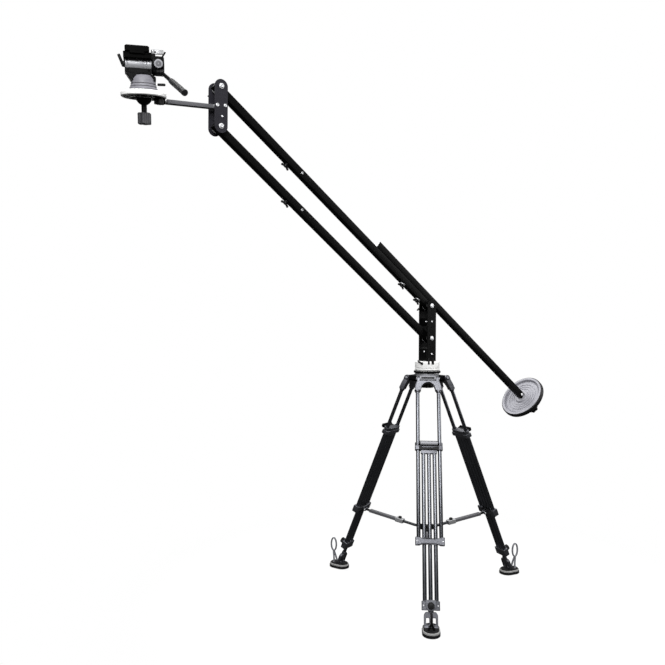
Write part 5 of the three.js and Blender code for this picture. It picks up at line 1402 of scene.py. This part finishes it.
    def plate(self) -> None:
        """The sliding camera plate with its pads and screw."""
        piece = Piece("camera_plate", self.places.tilt(), DEEP_BLACK)
        piece.prism(rectangle(-46.8, -55, 6.8, 55, 2), 31.5, 40)
        piece.prism(rectangle(-64, -55, 24, 55, 5), 38.5, 57.5, edge=1.6)
        for y in (-34, 34):
            piece.prism(rectangle(-60, y - 18, 20, y + 18, 3), 56.5, 60, finish=BLACK_RUBBER)
        piece.prism(rectangle(-24, -14, -16, 14, 3.5), 56.5, 59, edge=0.6, finish=PALE_ANODISED)
        piece.lathe([(0, 54), (9, 54), (9, 59.4), (5, 60), (5, 66.8), (0, 67)], at=(-20, 0, 0),
                    edge=0.5, finish=BRIGHT_STEEL)
        piece.done("plate")

    def controls(self) -> None:
        """Drag dial, tilt lock lever and plate catch."""
        self.dial()
        self.tilt_lock()
        self.catch()

    def dial(self) -> None:
        """The drag dial on the near side of the housing."""
        piece = Piece("head_drag_knob", self.places.tilt(), GREY_SKIN)
        at = (DIAL_X, 0, 0)
        piece.prism(lobed(16, 0.9, 24, 6), -55.3, -43.2, Axis.Y, at, edge=1.4)
        piece.lathe([(0, -42.3), (4, -42.3), (4, -43), (11, -43), (11, -56), (9, -56.4), (0, -55)],
                    Axis.Y, at, 0.5, DULL_GREY)
        piece.done("drag", "pale_aluminium")

    def tilt_lock(self) -> None:
        """The flared lever that locks the tilt."""
        lean = self.places.tilt() @ turned(10, "X")
        piece = Piece("head_tilt_lock", lean, BLACK_NYLON_AND_SHADE)
        piece.lathe([(0, -58), (4, -58), (4, -64.4), (11, -64.4), (11, -71), (9.4, -73.2),
                     (0, -73.2)], Axis.X)
        piece.place = lean @ Matrix.Translation((-78, 0, 12.5)) @ turned(-22, "Y")
        arm = mirrored([(6.2, -23), (6.4, 8), (4.6, 21), (2, 23.4)])
        piece.prism(soften(arm, 2.4), -6, 5, Axis.X, edge=1.8)
        piece.done("tilt_lock")

    def catch(self) -> None:
        """The silver lever that locks the camera plate."""
        piece = Piece("plate_lock_lever", self.places.tilt(), PALE_ANODISED)
        at = (38, -20, 0)
        piece.lathe([(0, 32), (3.6, 32), (3.6, 38.4), (8, 38.4), (8, 52.6), (6.4, 54.2), (0, 54.2)],
                    at=at)
        piece.rod(3.4, 54, 53, at=at, edge=0.2, finish=BLACK_NYLON_AND_SHADE, sides=24)
        bar = [(38, -25.6), (58, -26), (73, -25), (77, -20), (73, -15), (58, -14), (38, -14.4)]
        piece.prism(soften(bar, 2), 38.6, 55, edge=1.4)
        piece.rod(3.4, -26.6, -25, Axis.Y, (45, 0, 45), 0.4, BLACK_NYLON_AND_SHADE)
        piece.done("plate_catch")

    def handle(self) -> None:
        """The pan handle: clamp ring, rod and ribbed rubber grip."""
        place = self.places.tilt() @ Matrix.Translation((60.3, -40, -30))
        piece = Piece("pan_handle", place, BLACK_NYLON_AND_SHADE)
        piece.lathe([(0, 0), (13, 0), (13, 3), (12, 4), (13, 5), (13, 14), (0, 14)], Axis.X)
        piece.place = place @ Matrix.Translation((7, 0, 0)) @ turned(15, "Z") @ turned(22, "X")
        piece.rod(7, -124, 0, Axis.Y, finish=BLACK_COAT)
        piece.lathe([(0, -118), (8.4, -118), (10.6, -121), (10.8, -128), (10.8, -270), (12, -272),
                     (12, -282), (10, -284), (0, -284)], Axis.Y, edge=1.2, finish=GRIP_RUBBER)
        for y in range(-132, -265, -6):
            piece.lathe([(10, y), (11.2, y - 0.8), (11.2, y - 3), (10, y - 3.8)], Axis.Y, edge=0.2,
                        finish=GRIP_RUBBER, sides=32)
        piece.done("handle")


@dataclass
class Studio:
    """Pale floor, soft light and the camera at the photograph's angle."""

    places: Places
    focal: float = 691.96
    frame: float = 665
    centre_x: float = 335.47
    centre_y: float = 330.60
    sensor: float = 36
    distance: float = 3.4393
    height: float = 1.2892
    offset: float = 0.4568
    heading: float = 34.137
    pitch: float = -0.218
    roll: float = -0.378
    floor_half: float = 14

    def build(self) -> None:
        """Makes the camera, the floor, the lamps and the world."""
        self.camera()
        self.floor()
        self.lamps()
        self.world()

    def camera(self) -> None:
        """The camera, solved from the feet, the post and the booms."""
        data = bpy.data.cameras.new("camera")
        data.sensor_width = self.sensor
        data.lens = self.sensor * self.focal / self.frame
        data.shift_x = (self.frame / 2 - self.centre_x) / self.frame
        data.shift_y = (self.centre_y - self.frame / 2) / self.frame
        made = bpy.data.objects.new("camera", data)
        h, p, q = (math.radians(a) for a in (self.heading, self.pitch, self.roll))
        right = Vector((math.cos(h), -math.sin(h), 0))
        level = Vector((math.sin(h), math.cos(h), 0))
        forward = level * math.cos(p) + Vector((0, 0, 1)) * math.sin(p)
        up = Vector((0, 0, 1)) * math.cos(p) - level * math.sin(p)
        x = right * math.cos(q) - up * math.sin(q)
        y = right * math.sin(q) + up * math.cos(q)
        matrix = Matrix((x, y, -forward)).transposed().to_4x4()
        matrix.translation = (self.places.pan * MM - right * self.offset - level * self.distance
                              + Vector((0, 0, self.height)))
        made.matrix_world = matrix
        bpy.context.scene.collection.objects.link(made)
        bpy.context.scene.camera = made

    def floor(self) -> None:
        """A wide pale floor that reads white to the camera and keeps the shadow."""
        mesh = bpy.data.meshes.new("floor")
        s, z = self.floor_half, -0.001
        mesh.from_pydata([(-s, -s, z), (s, -s, z), (s, s, z), (-s, s, z)], [], [(0, 1, 2, 3)])
        made = bpy.data.objects.new("floor", mesh)
        bpy.context.scene.collection.objects.link(made)
        material = bpy.data.materials.new("white_paper_sweep")
        material.use_nodes = True
        tree = material.node_tree
        tree.nodes.clear()
        seen = add_node(tree, "ShaderNodeLightPath").outputs["Is Camera Ray"]
        where = add_node(tree, "ShaderNodeNewGeometry").outputs["Position"]
        away = add_node(tree, "ShaderNodeVectorMath", {"operation": "DISTANCE"}, {
            0: where, 1: self.places.pan * MM}).outputs["Value"]

        def seen_share(share: bpy.types.NodeSocket) -> bpy.types.NodeSocket:
            """A share that only counts for what the camera sees."""
            return add_node(tree, "ShaderNodeMath", {"operation": "MULTIPLY"}, {
                0: seen, 1: share}).outputs[0]

        pale = seen_share(map_range(tree, away, (1.0, 1.8), (1.0, 0.3), smooth=True))
        tone = add_node(tree, "ShaderNodeMix", {"data_type": "RGBA"}, {
            "Factor": pale, 6: srgb("3A3A3A"), 7: srgb("F4F4F4")})
        paper = add_node(tree, "ShaderNodeBsdfDiffuse", {}, {"Color": tone.outputs[2]})
        glow = add_node(tree, "ShaderNodeEmission", {}, {"Color": (1, 1, 1, 1), "Strength": 1.0})
        clear = seen_share(map_range(tree, away, (0.6, 1.6), (0.78, 1.0), smooth=True))
        mix = add_node(tree, "ShaderNodeMixShader", {}, {
            0: clear, 1: paper.outputs[0], 2: glow.outputs[0]})
        add_node(tree, "ShaderNodeOutputMaterial", {}, {"Surface": mix.outputs[0]})
        mesh.materials.append(material)

    def lamps(self) -> None:
        """Three soft boxes: key from the upper left, fill from the right and one behind."""
        middle = self.places.pan * MM + Vector((-0.4, 0, 1.2))
        for name, offset, size, power in (
                ("key_box", Vector((-2.6, -2.8, 2.6)), 2.4, 190),
                ("fill_box", Vector((3.2, -1.8, 1.4)), 2.6, 75),
                ("back_box", Vector((0.6, 3.4, 2.4)), 2.4, 75)):
            data = bpy.data.lights.new(name, "AREA")
            data.size = size
            data.energy = power
            made = bpy.data.objects.new(name, data)
            made.location = middle + offset
            made.rotation_euler = (-offset).to_track_quat("-Z", "Y").to_euler()
            bpy.context.scene.collection.objects.link(made)

    def world(self) -> None:
        """White to the camera; the metal sees a dim room with a bright ceiling."""
        world = bpy.data.worlds.new("studio_surround")
        world.use_nodes = True
        tree = world.node_tree
        tree.nodes.clear()
        seen = add_node(tree, "ShaderNodeLightPath").outputs["Is Camera Ray"]
        way = add_node(tree, "ShaderNodeTexCoord").outputs["Generated"]
        height = add_node(tree, "ShaderNodeSeparateXYZ", {}, {"Vector": way}).outputs["Z"]
        ceiling = map_range(tree, height, (0.15, 0.7), (0.03, 1.0), smooth=True)
        back = add_node(tree, "ShaderNodeBackground", {}, {
            "Color": (1, 1, 1, 1), "Strength": map_range(tree, seen, (0.0, 1.0), (ceiling, 1.0))})
        add_node(tree, "ShaderNodeOutputWorld", {}, {"Surface": back.outputs[0]})
        bpy.context.scene.world = world


def main() -> None:
    """Loads the frame and builds every sub-assembly round it."""
    logging.basicConfig(level=logging.INFO)
    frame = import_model()
    bpy.context.scene.view_settings.view_transform = "Standard"
    places = Places(frame["joints"])
    Studio(places).build()
    Crown(places).build()
    for name in LEGS:
        Leg(places, name).build()
    Hub(places).build()
    Booms(places).build()
    Platform(places).build()
    FluidHead(places).build()


if __name__ == "__main__":
    main()
